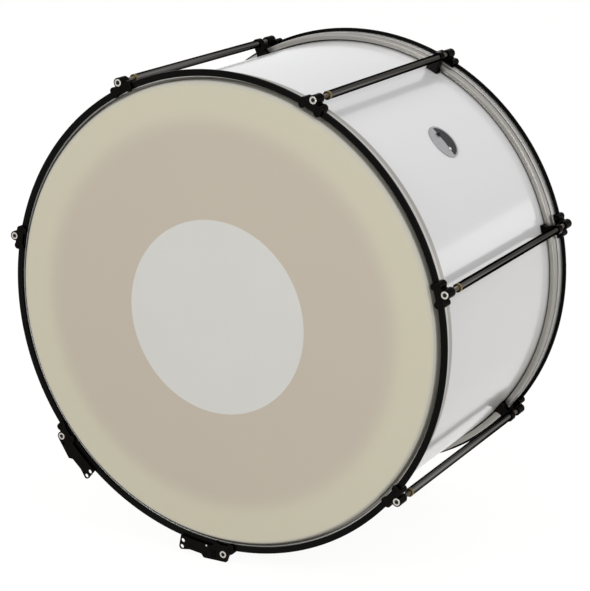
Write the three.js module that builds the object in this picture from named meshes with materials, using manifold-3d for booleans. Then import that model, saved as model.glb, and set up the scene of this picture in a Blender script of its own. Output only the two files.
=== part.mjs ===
// A marching bass drum, shown with its axis along Y and its struck head facing -Y.
// Millimetres, +Z up. The origin is on the ground, straight below the middle of the drum.
import * as THREE from 'three';
import { mergeVertices } from 'three/addons/utils/BufferGeometryUtils.js';
import Module from 'manifold-3d';

const wasm = await Module();
wasm.setup();

// Tension stations, numbered clockwise from the upper left as the struck head is seen.
// The top of the drum lies half a step past station 1, so one station is at the very bottom
const STATION_COUNT = 7;
const STATION_STEP = (2 * Math.PI) / STATION_COUNT;
const TOP_STEP_SHARE = 0.5;
const LOWEST_STATION = Math.round(STATION_COUNT / 2 + TOP_STEP_SHARE + 1);
const CARRIER_ARMS = new Map([[LOWEST_STATION, 1], [LOWEST_STATION + 1, -1]]);
const FACETS_PER_STATION = 10;
const ROUND_FACETS = 12;
const CORNER_FACETS = 4;
const HEX_FACETS = 6;

// Fits: the gap that touching pieces keep, and how far a cut runs past what it cuts
const CLEARANCE = 0.3;
const OVERRUN = 3;

// Shell, open at both ends, with a bevelled bearing edge
const SHELL_RADIUS = 305;
const SHELL_WALL = 7;
const SHELL_LENGTH = 393;
const EDGE_CREST_INSET = 2;
const EDGE_BEVEL = 2.5;
const EDGE_COUNTERCUT = 1.5;

// Rims. The flesh hoop runs round the shell, and hoop, guard and screws each stand further out.
// From the outer plane inwards lie the black guard, the hoop and the flesh hoop. The bearing edge rises a
// little past the guard's face, and the head falls away from it to the flesh hoop
const FLESH_HOOP_GAP = 2;
const FLESH_HOOP_WALL = 7.5;
const FLESH_HOOP_HEIGHT = 10;
const HOOP_STEP = 1;
const HOOP_WALL = 5.4;
const HOOP_HEIGHT = 13.4;
const GUARD_STEP = 4.5;
const GUARD_WIDTH = 8.6;
const GUARD_THICKNESS = 3;
const EDGE_RISE = 2.5;
const HEAD_THICKNESS = 0.6;
const HEAD_FOOT_GAP = 0.9;
const HEAD_EDGE_INSET = 2.2;

// Tension screws, socket headed, on one circle just outside the rims
const SCREW_OFFSET = 6;
const SCREW_RADIUS = 3;
const SCREW_LENGTH = 50;
const SCREW_HEAD_RADIUS = 5;
const SCREW_HEAD_HEIGHT = 6;
const SOCKET_WIDTH = 5;
const SOCKET_DEPTH = 3;

// Claws: two lobes that grip the rim, joined by a bridge, and a boss for the screw
const CLAW_PROUD = 4.3;
const CLAW_DEPTH = 13;
const CLAW_GRIP = 10.8;
const LOBE_SPACING = 23;
const LOBE_WIDTH = 10;
const LOBE_RISE = 4;
const BRIDGE_RISE = 3;
const BOSS_RADIUS = 6.5;
const BOSS_DEPTH = 14;

// Carrier arms: flat plates that two neighbouring claws reach towards each other, each with a thin end
// that has two holes.
// The lowest one is deeper at its screw, where the drum stands on it. Rises count from the screw circle
const ARM_THICKNESS = 6;
const ARM_FOOT_RISE = 10.5;
const ARM_FOOT_LENGTH = 30;
const ARM_HEEL = 4.5;
const ARM_HEEL_SLOPE = 5;
const ARM_HEEL_DROP = 4;
const ARM_STEP = 3.5;
const ARM_WAIST_RISE = 7.3;
const ARM_TAPER = 12;
const ARM_HOLE_REACH = 63;
const ARM_HOLE_RADIUS = 2.9;
const ARM_HOLE_MARGIN = 0.8;
const ARM_HOLE_SPACING = 9;
const ARM_END_RADIUS = 4.5;
const ARM_TAB_THICKNESS = 2.2;
const ARM_TAB_LENGTH = 10;

// Tension tubes, each with a brass threaded insert in front and a block on the shell behind
const TUBE_RADIUS = 5.5;
const TUBE_WALL = 1;
const INSERT_GAP = 3.1;
const INSERT_COLLAR_RADIUS = 5.7;
const INSERT_COLLAR_LENGTH = 4;
const INSERT_SPIGOT_LENGTH = 14;
const COUNTERSINK_RADIUS = 4.2;
const COUNTERSINK_DEPTH = 2;
const BLOCK_GAP = 2.1;
const BLOCK_LENGTH = 10.5;
const BLOCK_FOOT_WIDTH = 18;
const BLOCK_FOOT_HEIGHT = 4;
const BLOCK_TOP_RADIUS = 7;
const BLOCK_THREAD_LENGTH = 6;

// Badge on the shell, placed by its distance round the shell from the top and by its depth from the
// struck side, and the vent eyelet through it, placed from the badge
const BADGE_RADIUS = 25;
const BADGE_THICKNESS = 1;
const BADGE_DEPTH = 201.5;
const BADGE_ARC = 245;
const EYELET_DEPTH_OFFSET = 1;
const EYELET_ARC_OFFSET = 11.5;
const EYELET_FLANGE_RADIUS = 3.5;
const EYELET_FLANGE_THICKNESS = 1;
const EYELET_RADIUS = 2.6;
const EYELET_BORE = 1.8;

// Worked out from the sizes above: radii, then depths from the outer plane of a side
const FLESH_HOOP_RADIUS = SHELL_RADIUS + FLESH_HOOP_GAP + FLESH_HOOP_WALL;
const HOOP_RADIUS = FLESH_HOOP_RADIUS + HOOP_STEP;
const GUARD_RADIUS = HOOP_RADIUS + GUARD_STEP;
const SCREW_CIRCLE = GUARD_RADIUS + SCREW_OFFSET;
const ARM_HOLE_CIRCLE = GUARD_RADIUS + CLEARANCE + ARM_HOLE_MARGIN + ARM_HOLE_RADIUS;
const AXIS_HEIGHT = SCREW_CIRCLE + ARM_FOOT_RISE;
const THREAD_BORE = SCREW_RADIUS + CLEARANCE;
const HOOP_FRONT = GUARD_THICKNESS + CLEARANCE;
const HOOP_BACK = HOOP_FRONT + HOOP_HEIGHT;
const HEAD_BACK = -EDGE_RISE - CLEARANCE;
const FLANGE_BACK = HOOP_BACK + CLEARANCE + HEAD_THICKNESS;
const FLESH_FRONT = FLANGE_BACK + CLEARANCE;
const FLESH_BACK = FLESH_FRONT + FLESH_HOOP_HEIGHT;
const HALF_LENGTH = SHELL_LENGTH / 2 - EDGE_RISE;
const SCREW_SEAT = SCREW_HEAD_HEIGHT - CLAW_PROUD;
const INSERT_DEPTH = FLESH_BACK + INSERT_GAP;
const BLOCK_DEPTH = FLESH_BACK + BLOCK_GAP;
const TUBE_FRONT = INSERT_DEPTH + INSERT_COLLAR_LENGTH + CLEARANCE;
const TUBE_BACK = BLOCK_DEPTH + BLOCK_THREAD_LENGTH + CLEARANCE;
const EYELET_DEPTH = BADGE_DEPTH + EYELET_DEPTH_OFFSET;
const EYELET_ARC = BADGE_ARC - EYELET_ARC_OFFSET;

const FINISHES = {
  lacquer: { color: 0xe4e2df, roughness: 0.2, metalness: 0 },
  black: { color: 0x141414, roughness: 0.45, metalness: 0.2 },
  aluminium: { color: 0xb2aca8, roughness: 0.35, metalness: 0.9 },
  film: { color: 0xc8c5ac, roughness: 0.6, metalness: 0 },
  gunmetal: { color: 0x3a3735, roughness: 0.3, metalness: 0.8 },
  brass: { color: 0x8a6a35, roughness: 0.35, metalness: 0.9 },
  steel: { color: 0x3c3a38, roughness: 0.35, metalness: 0.8 },
};

function piece(name, finish, geometry) {
  const mesh = new THREE.Mesh(geometry, new THREE.MeshStandardMaterial(FINISHES[finish]));
  mesh.name = name;
  return mesh;
}

function toSolid(geometry) {
  geometry.deleteAttribute('normal');
  geometry.deleteAttribute('uv');
  const merged = mergeVertices(geometry);
  return new wasm.Manifold(new wasm.Mesh({
    numProp: 3,
    vertProperties: new Float32Array(merged.attributes.position.array),
    triVerts: new Uint32Array(merged.index.array),
  }));
}

function toGeometry(solid) {
  const mesh = solid.getMesh();
  const geometry = new THREE.BufferGeometry();
  geometry.setAttribute('position', new THREE.BufferAttribute(mesh.vertProperties, 3));
  geometry.setIndex(new THREE.BufferAttribute(mesh.triVerts, 1));
  geometry.computeVertexNormals();
  return geometry;
}

// A round piece about the Y axis: an outline of (radius, y) points, turned so that its faces point out
function turned(outline, facets = ROUND_FACETS) {
  const points = outline.map(([radius, y]) => new THREE.Vector2(radius, y));
  if (THREE.ShapeUtils.area(points) < 0) points.reverse();
  const axisStart = points.findIndex((p, i) => p.x === 0 && points.at(i - 1).x === 0);
  const ordered = axisStart < 0
    ? [...points, points[0]]
    : [...points.slice(axisStart), ...points.slice(0, axisStart)];
  return new THREE.LatheGeometry(ordered, facets);
}

function ring(outline) {
  return turned(outline, STATION_COUNT * FACETS_PER_STATION);
}

// A flat outline in the plane across the drum's axis, x along the rim and z away from the axis,
// given thickness from the depth start to the depth end
function plate(shape, start, end) {
  const settings = { depth: end - start, bevelEnabled: false, curveSegments: CORNER_FACETS };
  const geometry = new THREE.ExtrudeGeometry(shape, settings);
  geometry.rotateX(Math.PI / 2);
  return geometry.translate(0, end, 0);
}

// A round bar along the depth axis through the screw circle
function bar(radius, start, end) {
  const geometry = new THREE.CylinderGeometry(radius, radius, end - start, ROUND_FACETS);
  return geometry.translate(0, (start + end) / 2, SCREW_CIRCLE);
}

// A place on the rim, given by the distance along the screw circle and by the radius
function onRim(arc, radius) {
  const angle = arc / SCREW_CIRCLE;
  return new THREE.Vector2(radius * Math.sin(angle), radius * Math.cos(angle));
}

function shell() {
  const inner = SHELL_RADIUS - SHELL_WALL;
  const crest = SHELL_RADIUS - EDGE_CREST_INSET;
  const end = SHELL_LENGTH / 2;
  const wall = toSolid(ring([
    [SHELL_RADIUS, EDGE_BEVEL - end], [SHELL_RADIUS, end - EDGE_BEVEL], [crest, end],
    [inner, end - EDGE_COUNTERCUT], [inner, EDGE_COUNTERCUT - end], [crest, -end],
  ]));
  const vent = shellHole(EYELET_RADIUS + CLEARANCE);
  return piece('shell', 'lacquer', toGeometry(wall.subtract(vent)));
}

// A round bar that points straight out through the shell at the given depth and arc along it
function spoke(radius, inner, outer, depth, arc) {
  const geometry = new THREE.CylinderGeometry(radius, radius, outer - inner, ROUND_FACETS);
  geometry.rotateX(Math.PI / 2);
  geometry.translate(0, depth - HALF_LENGTH, (inner + outer) / 2);
  return geometry.rotateY(arc / SHELL_RADIUS);
}

function shellHole(radius) {
  const inner = SHELL_RADIUS - SHELL_WALL - OVERRUN;
  const outer = SHELL_RADIUS + BADGE_THICKNESS + OVERRUN;
  return toSolid(spoke(radius, inner, outer, EYELET_DEPTH, EYELET_ARC));
}

function badge() {
  const back = SHELL_RADIUS + CLEARANCE;
  const front = back + BADGE_THICKNESS;
  const span = HALF_LENGTH;
  const skin = toSolid(ring([[front, -span], [front, span], [back, span], [back, -span]]));
  const outline = toSolid(spoke(BADGE_RADIUS, back - OVERRUN, front + OVERRUN, BADGE_DEPTH, BADGE_ARC));
  const disc = skin.intersect(outline).subtract(shellHole(EYELET_RADIUS + CLEARANCE));
  return piece('badge', 'aluminium', toGeometry(disc));
}

function eyelet() {
  const under = SHELL_RADIUS + BADGE_THICKNESS + 2 * CLEARANCE;
  const top = under + EYELET_FLANGE_THICKNESS;
  const inner = SHELL_RADIUS - SHELL_WALL;
  const barrel = toSolid(spoke(EYELET_RADIUS, inner, top, EYELET_DEPTH, EYELET_ARC));
  const flange = toSolid(spoke(EYELET_FLANGE_RADIUS, under, top, EYELET_DEPTH, EYELET_ARC));
  const bore = toSolid(spoke(EYELET_BORE, inner - OVERRUN, top + OVERRUN, EYELET_DEPTH, EYELET_ARC));
  return piece('vent_eyelet', 'steel', toGeometry(barrel.add(flange).subtract(bore)));
}

// The four rings of one rim. The side is -1 for the struck head's rim and 1 for the other
function rim(prefix, side) {
  const at = (depth) => side * (HALF_LENGTH - depth);
  const band = (outer, wall, start, height) => ring([
    [outer, at(start)], [outer, at(start + height)],
    [outer - wall, at(start + height)], [outer - wall, at(start)],
  ]);
  return [
    piece(`${prefix}_rim_guard`, 'black', band(GUARD_RADIUS, GUARD_WIDTH, 0, GUARD_THICKNESS)),
    piece(`${prefix}_hoop`, 'aluminium', band(HOOP_RADIUS, HOOP_WALL, HOOP_FRONT, HOOP_HEIGHT)),
    piece(`${prefix}_head`, 'film', headFilm(at)),
    piece(`${prefix}_flesh_hoop`, 'aluminium',
      band(FLESH_HOOP_RADIUS, FLESH_HOOP_WALL, FLESH_FRONT, FLESH_HOOP_HEIGHT)),
  ];
}

// The head lies on the bearing edge, bends over its bevel, runs down round the shell and is clamped
// between hoop and flesh hoop
function headFilm(at) {
  const crease = SHELL_RADIUS - EDGE_CREST_INSET;
  const shoulder = SHELL_RADIUS + CLEARANCE;
  const foot = SHELL_RADIUS + FLESH_HOOP_GAP - HEAD_FOOT_GAP;
  const edge = FLESH_HOOP_RADIUS - HEAD_EDGE_INSET;
  const bend = HEAD_THICKNESS / 2;
  const shoulderDepth = EDGE_BEVEL - EDGE_RISE;
  const flangeFront = FLANGE_BACK - HEAD_THICKNESS;
  const headFront = HEAD_BACK - HEAD_THICKNESS;
  return ring([
    [0, at(headFront)], [crease + bend, at(headFront)], [shoulder + HEAD_THICKNESS, at(shoulderDepth - bend)],
    [foot + HEAD_THICKNESS, at(flangeFront)], [edge, at(flangeFront)], [edge, at(FLANGE_BACK)],
    [foot, at(FLANGE_BACK)], [shoulder, at(shoulderDepth)], [crease, at(HEAD_BACK)], [0, at(HEAD_BACK)],
  ]);
}

// One lobe of a claw: a bar with round ends, from the grip on the rim's face to outside the rim
function lobe(offset) {
  const half = LOBE_WIDTH / 2;
  const low = GUARD_RADIUS - CLAW_GRIP + half;
  const high = GUARD_RADIUS + LOBE_RISE - half;
  const shape = new THREE.Shape();
  shape.absarc(offset, low, half, Math.PI, 2 * Math.PI);
  shape.absarc(offset, high, half, 0, Math.PI);
  return toSolid(plate(shape, -CLAW_PROUD, CLAW_DEPTH));
}

function bridge() {
  const half = LOBE_SPACING / 2;
  const top = GUARD_RADIUS + BRIDGE_RISE;
  const shape = new THREE.Shape([
    new THREE.Vector2(-half, HOOP_RADIUS), new THREE.Vector2(half, HOOP_RADIUS),
    new THREE.Vector2(half, top), new THREE.Vector2(-half, top),
  ]);
  return toSolid(plate(shape, -CLAW_PROUD, CLAW_DEPTH));
}

// What the rim takes up, with the clearance round it, and nothing in front of its outer plane
function rimSpace() {
  const guard = GUARD_RADIUS + CLEARANCE;
  const hoop = HOOP_RADIUS + CLEARANCE;
  const step = GUARD_THICKNESS + CLEARANCE;
  const back = CLAW_DEPTH + BOSS_DEPTH;
  const inner = SHELL_RADIUS;
  return toSolid(ring([
    [guard, -CLEARANCE], [guard, step], [hoop, step], [hoop, back], [inner, back], [inner, -CLEARANCE],
  ]));
}

function screwSpace() {
  const ahead = -CLAW_PROUD - OVERRUN;
  const pocket = toSolid(bar(SCREW_HEAD_RADIUS + 2 * CLEARANCE, ahead, SCREW_SEAT + CLEARANCE));
  return pocket.add(toSolid(bar(THREAD_BORE, ahead, BOSS_DEPTH + OVERRUN)));
}

// The outline of a carrier arm that reaches clockwise from its screw, with or without a heel to stand on
function armOutline(heel) {
  const footRadius = SCREW_CIRCLE + ARM_FOOT_RISE;
  const waistRadius = SCREW_CIRCLE + ARM_WAIST_RISE;
  const shape = new THREE.Shape();
  shape.moveTo(0, SHELL_RADIUS);
  const toe = onRim(ARM_HOLE_REACH + ARM_END_RADIUS, SHELL_RADIUS);
  shape.lineTo(toe.x, toe.y);
  const end = onRim(ARM_HOLE_REACH, ARM_HOLE_CIRCLE + ARM_HOLE_SPACING);
  const lean = -ARM_HOLE_REACH / SCREW_CIRCLE;
  shape.absarc(end.x, end.y, ARM_END_RADIUS, lean, lean + Math.PI / 2);
  const waistEnd = onRim(ARM_HOLE_REACH - ARM_TAPER, waistRadius);
  shape.lineTo(waistEnd.x, waistEnd.y);
  const waistStart = onRim(ARM_FOOT_LENGTH + ARM_STEP, waistRadius);
  shape.lineTo(waistStart.x, waistStart.y);
  shape.lineTo(ARM_FOOT_LENGTH, footRadius);
  if (heel) {
    shape.lineTo(-ARM_HEEL, footRadius);
    shape.lineTo(-ARM_HEEL - ARM_HEEL_SLOPE, SCREW_CIRCLE - ARM_HEEL_DROP);
  } else {
    shape.lineTo(0, SCREW_CIRCLE + BOSS_RADIUS);
  }
  return shape;
}

// What is cut from the back of a carrier arm, so that its end is thin
function tabSpace(behind) {
  const start = ARM_HOLE_REACH - ARM_TAB_LENGTH;
  const stop = ARM_HOLE_REACH + ARM_END_RADIUS + OVERRUN;
  const outer = SCREW_CIRCLE + ARM_FOOT_RISE + OVERRUN;
  const corners = [
    onRim(start, SHELL_RADIUS), onRim(stop, SHELL_RADIUS), onRim(stop, outer), onRim(start, outer),
  ];
  return toSolid(plate(new THREE.Shape(corners), ARM_TAB_THICKNESS - CLAW_PROUD, behind));
}

function carrierArm(heel) {
  const back = ARM_THICKNESS - CLAW_PROUD;
  const clear = GUARD_RADIUS + CLEARANCE;
  const deep = SHELL_RADIUS - OVERRUN;
  const ahead = -CLAW_PROUD - OVERRUN;
  const behind = back + OVERRUN;
  const inside = toSolid(ring([[clear, ahead], [clear, behind], [deep, behind], [deep, ahead]]));
  let arm = toSolid(plate(armOutline(heel), -CLAW_PROUD, back)).subtract(inside).subtract(tabSpace(behind));
  for (const circle of [ARM_HOLE_CIRCLE, ARM_HOLE_CIRCLE + ARM_HOLE_SPACING]) {
    const centre = onRim(ARM_HOLE_REACH, circle);
    const hole = new THREE.CylinderGeometry(ARM_HOLE_RADIUS, ARM_HOLE_RADIUS, behind - ahead, ROUND_FACETS);
    arm = arm.subtract(toSolid(hole.translate(centre.x, (ahead + behind) / 2, centre.y)));
  }
  return arm;
}

// A claw, with its carrier arm if it has one: 1 reaches clockwise, -1 the other way, 0 is no arm
function claw(name, arm, heel) {
  const half = LOBE_SPACING / 2;
  let body = lobe(-half).add(lobe(half)).add(bridge());
  body = body.add(toSolid(bar(BOSS_RADIUS, -CLAW_PROUD, BOSS_DEPTH)));
  if (arm !== 0) body = body.add(carrierArm(heel));
  body = body.subtract(rimSpace()).subtract(screwSpace());
  const geometry = toGeometry(body);
  if (arm < 0) mirror(geometry);
  return piece(name, 'black', geometry);
}

// Left and right swapped, with the faces turned to point out again
function mirror(geometry) {
  geometry.scale(-1, 1, 1);
  const index = geometry.index;
  for (let i = 0; i < index.count; i += 3) {
    const first = index.getX(i);
    index.setX(i, index.getX(i + 1));
    index.setX(i + 1, first);
  }
  geometry.computeVertexNormals();
}

function screw(name) {
  const shank = toSolid(bar(SCREW_RADIUS, -CLAW_PROUD, SCREW_SEAT + SCREW_LENGTH));
  const head = toSolid(bar(SCREW_HEAD_RADIUS, -CLAW_PROUD, SCREW_SEAT));
  const corner = SOCKET_WIDTH / 2 / Math.cos(Math.PI / HEX_FACETS);
  const depth = SOCKET_DEPTH + OVERRUN;
  const socket = new THREE.CylinderGeometry(corner, corner, depth, HEX_FACETS);
  socket.translate(0, SOCKET_DEPTH - CLAW_PROUD - depth / 2, SCREW_CIRCLE);
  return piece(name, 'steel', toGeometry(shank.add(head).subtract(toSolid(socket))));
}

// A hollow round piece on the tube's line, from an outline of (radius, depth) points
function sleeve(outline) {
  return turned(outline).translate(0, 0, SCREW_CIRCLE);
}

function tube(name) {
  const end = 2 * HALF_LENGTH - TUBE_BACK;
  const bore = TUBE_RADIUS - TUBE_WALL;
  const outline = [[TUBE_RADIUS, TUBE_FRONT], [TUBE_RADIUS, end], [bore, end], [bore, TUBE_FRONT]];
  return piece(name, 'gunmetal', sleeve(outline));
}

function insert(name) {
  const shoulder = INSERT_DEPTH + INSERT_COLLAR_LENGTH;
  const end = shoulder + INSERT_SPIGOT_LENGTH;
  const spigot = TUBE_RADIUS - TUBE_WALL - CLEARANCE;
  return piece(name, 'brass', sleeve([
    [INSERT_COLLAR_RADIUS, INSERT_DEPTH], [INSERT_COLLAR_RADIUS, shoulder], [spigot, shoulder],
    [spigot, end], [THREAD_BORE, end], [THREAD_BORE, INSERT_DEPTH + COUNTERSINK_DEPTH],
    [COUNTERSINK_RADIUS, INSERT_DEPTH],
  ]));
}

// The block that carries the tube on the shell and holds the rear screw's thread
function block(name) {
  const foot = BLOCK_FOOT_WIDTH / 2;
  const back = BLOCK_DEPTH + BLOCK_LENGTH;
  const socket = TUBE_RADIUS + CLEARANCE;
  const shape = new THREE.Shape();
  shape.moveTo(-foot, SHELL_RADIUS - OVERRUN);
  shape.lineTo(foot, SHELL_RADIUS - OVERRUN);
  shape.lineTo(foot, SHELL_RADIUS + BLOCK_FOOT_HEIGHT);
  shape.absarc(0, SCREW_CIRCLE, BLOCK_TOP_RADIUS, 0, Math.PI);
  shape.lineTo(-foot, SHELL_RADIUS + BLOCK_FOOT_HEIGHT);
  const seat = SHELL_RADIUS + CLEARANCE;
  const deep = SHELL_RADIUS - 2 * OVERRUN;
  const before = BLOCK_DEPTH - OVERRUN;
  const after = back + OVERRUN;
  let body = toSolid(plate(shape, BLOCK_DEPTH, back));
  body = body.subtract(toSolid(ring([[seat, before], [seat, after], [deep, after], [deep, before]])));
  body = body.subtract(toSolid(bar(socket, BLOCK_DEPTH + BLOCK_THREAD_LENGTH, after)));
  body = body.subtract(toSolid(bar(THREAD_BORE, before, after)));
  return piece(name, 'black', toGeometry(body));
}

// Everything that one station carries on one side, in depths from that side's outer plane
function sideOf(prefix, number, side) {
  const arm = (CARRIER_ARMS.get(number) ?? 0) * -side;
  const clawName = arm === 0 ? `${prefix}_claw_${number}` : `${prefix}_carrier_claw_${number}`;
  const group = new THREE.Group();
  const heel = number === LOWEST_STATION;
  group.add(claw(clawName, arm, heel), screw(`${prefix}_screw_${number}`));
  if (side < 0) group.add(tube(`tube_${number}`), insert(`tube_insert_${number}`));
  else group.add(block(`tube_block_${number}`));
  group.position.y = side * HALF_LENGTH;
  group.rotation.z = side < 0 ? 0 : Math.PI;
  return group;
}

function station(number) {
  const group = new THREE.Group();
  group.add(sideOf('front', number, -1), sideOf('rear', number, 1));
  group.rotation.y = (number - 1 - TOP_STEP_SHARE) * STATION_STEP;
  return group;
}

const drum = new THREE.Group();
drum.add(shell(), badge(), eyelet(), ...rim('front', -1), ...rim('rear', 1));
for (let number = 1; number <= STATION_COUNT; number += 1) {
  drum.add(station(number));
}
drum.position.z = AXIS_HEIGHT;

const model = new THREE.Group();
model.name = 'marching_bass_drum';
model.add(drum);

export default model;
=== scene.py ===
"""A marching bass drum in a plain studio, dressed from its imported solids.

Sizes in the classes are millimetres, and each surface becomes metres as it is made. Places follow
the drum: an angle turns clockwise from the top as the front head is seen, a radius counts from the
drum's axis, and a depth counts inwards from the outer plane of the front or the rear side.
A station's own coordinates are x along the rim, y as depth and z as radius.
"""
from __future__ import annotations

import logging
import math
from abc import ABC, abstractmethod
from dataclasses import dataclass, field
from enum import Enum
from typing import Callable, ClassVar, Sequence

import bmesh
import bpy
import numpy as np
from mathutils import Matrix, Vector


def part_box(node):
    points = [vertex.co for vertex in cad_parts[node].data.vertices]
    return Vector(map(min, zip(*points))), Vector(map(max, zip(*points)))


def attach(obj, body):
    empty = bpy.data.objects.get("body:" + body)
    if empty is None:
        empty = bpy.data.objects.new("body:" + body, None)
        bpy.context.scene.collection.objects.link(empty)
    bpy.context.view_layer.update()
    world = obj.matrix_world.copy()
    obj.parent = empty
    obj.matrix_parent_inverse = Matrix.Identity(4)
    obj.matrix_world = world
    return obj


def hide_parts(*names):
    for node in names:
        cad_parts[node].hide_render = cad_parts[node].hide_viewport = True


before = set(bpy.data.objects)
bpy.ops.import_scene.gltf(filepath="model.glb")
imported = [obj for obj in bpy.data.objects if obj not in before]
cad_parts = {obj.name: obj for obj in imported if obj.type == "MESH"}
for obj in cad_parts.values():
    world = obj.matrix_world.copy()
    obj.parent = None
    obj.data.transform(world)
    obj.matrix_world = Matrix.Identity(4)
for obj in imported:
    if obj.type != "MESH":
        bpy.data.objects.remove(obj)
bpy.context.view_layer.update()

Colour = tuple[float, float, float, float]
Pair = tuple[float, float]
Place = tuple[float, float, float]
Pattern = Pair | tuple[float, float, Place]
Arcs = tuple[float, ...]

MM = 0.001
TURN = 2 * math.pi
# Points nearer to each other than this, in metres, become one.
WELD = 0.002 * MM
# A corner that is kept sharp is an arc of this radius, in millimetres, so that its points weld.
SHARP_ARC = 0.00025
HALF_ROUND_STEPS = 17
log = logging.getLogger("drum")


def shifted(x: float = 0.0, y: float = 0.0, z: float = 0.0) -> np.ndarray:
    """Matrix that moves points along the three axes.

    Args:
        x: length along X.
        y: length along Y.
        z: length along Z.

    Returns:
        The matrix.
    """
    place = np.eye(4)
    place[:3, 3] = x, y, z
    return place


class Side(Enum):
    """The two sides of the drum, by the prefix of their nodes."""

    FRONT = "front"
    REAR = "rear"

    @property
    def sign(self) -> int:
        """Direction of the side along Y."""
        return -1 if self is Side.FRONT else 1

    @property
    def rim_body(self) -> str:
        """Name of the body that the side's rim belongs to."""
        return f"{self.value}_rim"


@dataclass(frozen=True)
class Layout:
    """Where the drum's parts lie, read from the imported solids, and the sizes that they share.

    All lengths are in millimetres.
    """

    axis_height: float
    half_length: float
    screw_circle: float
    stations: tuple[int, ...] = (1, 2, 3, 4, 5, 6, 7)
    carrier_stations: tuple[int, int] = (5, 6)
    clearance: float = 0.3
    overrun: float = 3.0
    crest_inset: float = 2.0
    bevel: float = 2.5
    proud: float = 4.3
    screw_head: float = 5.0
    screw_bore: float = 3.3
    patch_centre: Pair = (-3.5, -0.2)
    ring_facets: int = 320

    @classmethod
    def measured(cls) -> "Layout":
        """Reads the layout from the solids of the shell, a guard and the lowest screw.

        Returns:
            The layout.
        """
        height = sum(corner.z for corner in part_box("shell")) / 2
        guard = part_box("rear_rim_guard")[1].y
        screw = sum(corner.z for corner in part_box("front_screw_5")) / 2
        return cls(height / MM, guard / MM, (height - screw) / MM)

    def ring(self, node: str) -> Place:
        """Outer radius, near depth and far depth of a ring-shaped node.

        Args:
            node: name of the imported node.

        Returns:
            Radius, and the depths of its two faces from its side's outer plane.
        """
        low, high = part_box(node)
        radius = (high.z - low.z) / 2 / MM
        reach = sorted(abs(y) / MM for y in (low.y, high.y))
        return radius, self.half_length - reach[1], self.half_length - reach[0]

    def side_place(self, side: Side) -> np.ndarray:
        """Matrix from (x, depth, radius) at the top of a side to the drum's own frame, in millimetres."""
        turn = -side.sign
        return shifted(0, side.sign * self.half_length, self.axis_height) @ np.diag([turn, turn, 1.0, 1.0])

    def station_place(self, station: int, side: Side) -> np.ndarray:
        """Matrix from a station's own coordinates to the drum's frame, in millimetres.

        The top of the drum lies half a step past station 1.

        Args:
            station: number of the station.
            side: front or rear.

        Returns:
            The matrix.
        """
        angle = (station - 1.5) * TURN / len(self.stations)
        turn = np.eye(4)
        turn[0, 0] = turn[2, 2] = math.cos(angle)
        turn[0, 2], turn[2, 0] = math.sin(angle), -math.sin(angle)
        height = self.axis_height
        return shifted(z=height) @ turn @ shifted(z=-height) @ self.side_place(side)

    def claw_node(self, side: Side, station: int) -> str:
        """Name of the claw's node at a station."""
        kind = "carrier_claw" if station in self.carrier_stations else "claw"
        return f"{side.value}_{kind}_{station}"


LAYOUT = Layout.measured()


# Surfaces


def linked(name: str, data: bpy.types.ID) -> bpy.types.Object:
    """Object of a mesh, lamp or camera, put into the scene.

    Args:
        name: name of the object.
        data: its mesh, lamp or camera.

    Returns:
        The object.
    """
    made = bpy.data.objects.new(name, data)
    bpy.context.scene.collection.objects.link(made)
    return made


def new_object(name: str, vertices: np.ndarray, faces: Sequence[Sequence[int]],
               outwards: bool = True) -> bpy.types.Object:
    """Makes an object of vertices in millimetres, with its doubles merged.

    Args:
        name: name of the object.
        vertices: array of points, one a row.
        faces: vertex numbers of each face.
        outwards: whether the faces point outwards already. Where not, they are turned.

    Returns:
        The object, at the origin, with its place in its mesh.
    """
    mesh = bpy.data.meshes.new(name)
    mesh.from_pydata((vertices * MM).tolist(), [], faces)
    work = bmesh.new()
    work.from_mesh(mesh)
    bmesh.ops.remove_doubles(work, verts=work.verts, dist=WELD)
    bmesh.ops.dissolve_degenerate(work, edges=work.edges, dist=WELD)
    if not outwards:
        bmesh.ops.recalc_face_normals(work, faces=work.faces)
    work.to_mesh(mesh)
    work.free()
    return linked(name, mesh)


def lattice(name: str, points: np.ndarray, place: np.ndarray | None = None) -> bpy.types.Object:
    """Closed surface over a grid of points that wraps both ways, with its faces turned outwards.

    The enclosed volume is the sum of a . (b x c) over the triangles, and its sign says which way
    the faces point. Rows or columns that meet in a point are merged there.

    Args:
        name: name of the object.
        points: array of rows by columns by three coordinates, in millimetres.
        place: matrix that the points go through.

    Returns:
        The closed object.
    """
    rows, columns = points.shape[:2]
    vertices = placed(points.reshape(-1, 3), place)
    number = np.arange(rows * columns).reshape(rows, columns)
    number = np.pad(number, ((0, 1), (0, 1)), mode="wrap")
    corners = (number[:-1, :-1], number[1:, :-1], number[1:, 1:], number[:-1, 1:])
    faces = np.stack(corners, -1).reshape(-1, 4)
    a, b, c, d = (vertices[faces[:, corner]] for corner in range(4))
    volume = (a * (np.cross(b, c) + np.cross(c, d))).sum()
    faces = faces if volume > 0 else faces[:, ::-1]
    return new_object(name, vertices, faces.tolist())


def placed(points: np.ndarray, place: np.ndarray | None) -> np.ndarray:
    """Points moved by a four by four matrix, or as they are where there is none."""
    return points if place is None else points @ place[:3, :3].T + place[:3, 3]


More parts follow.
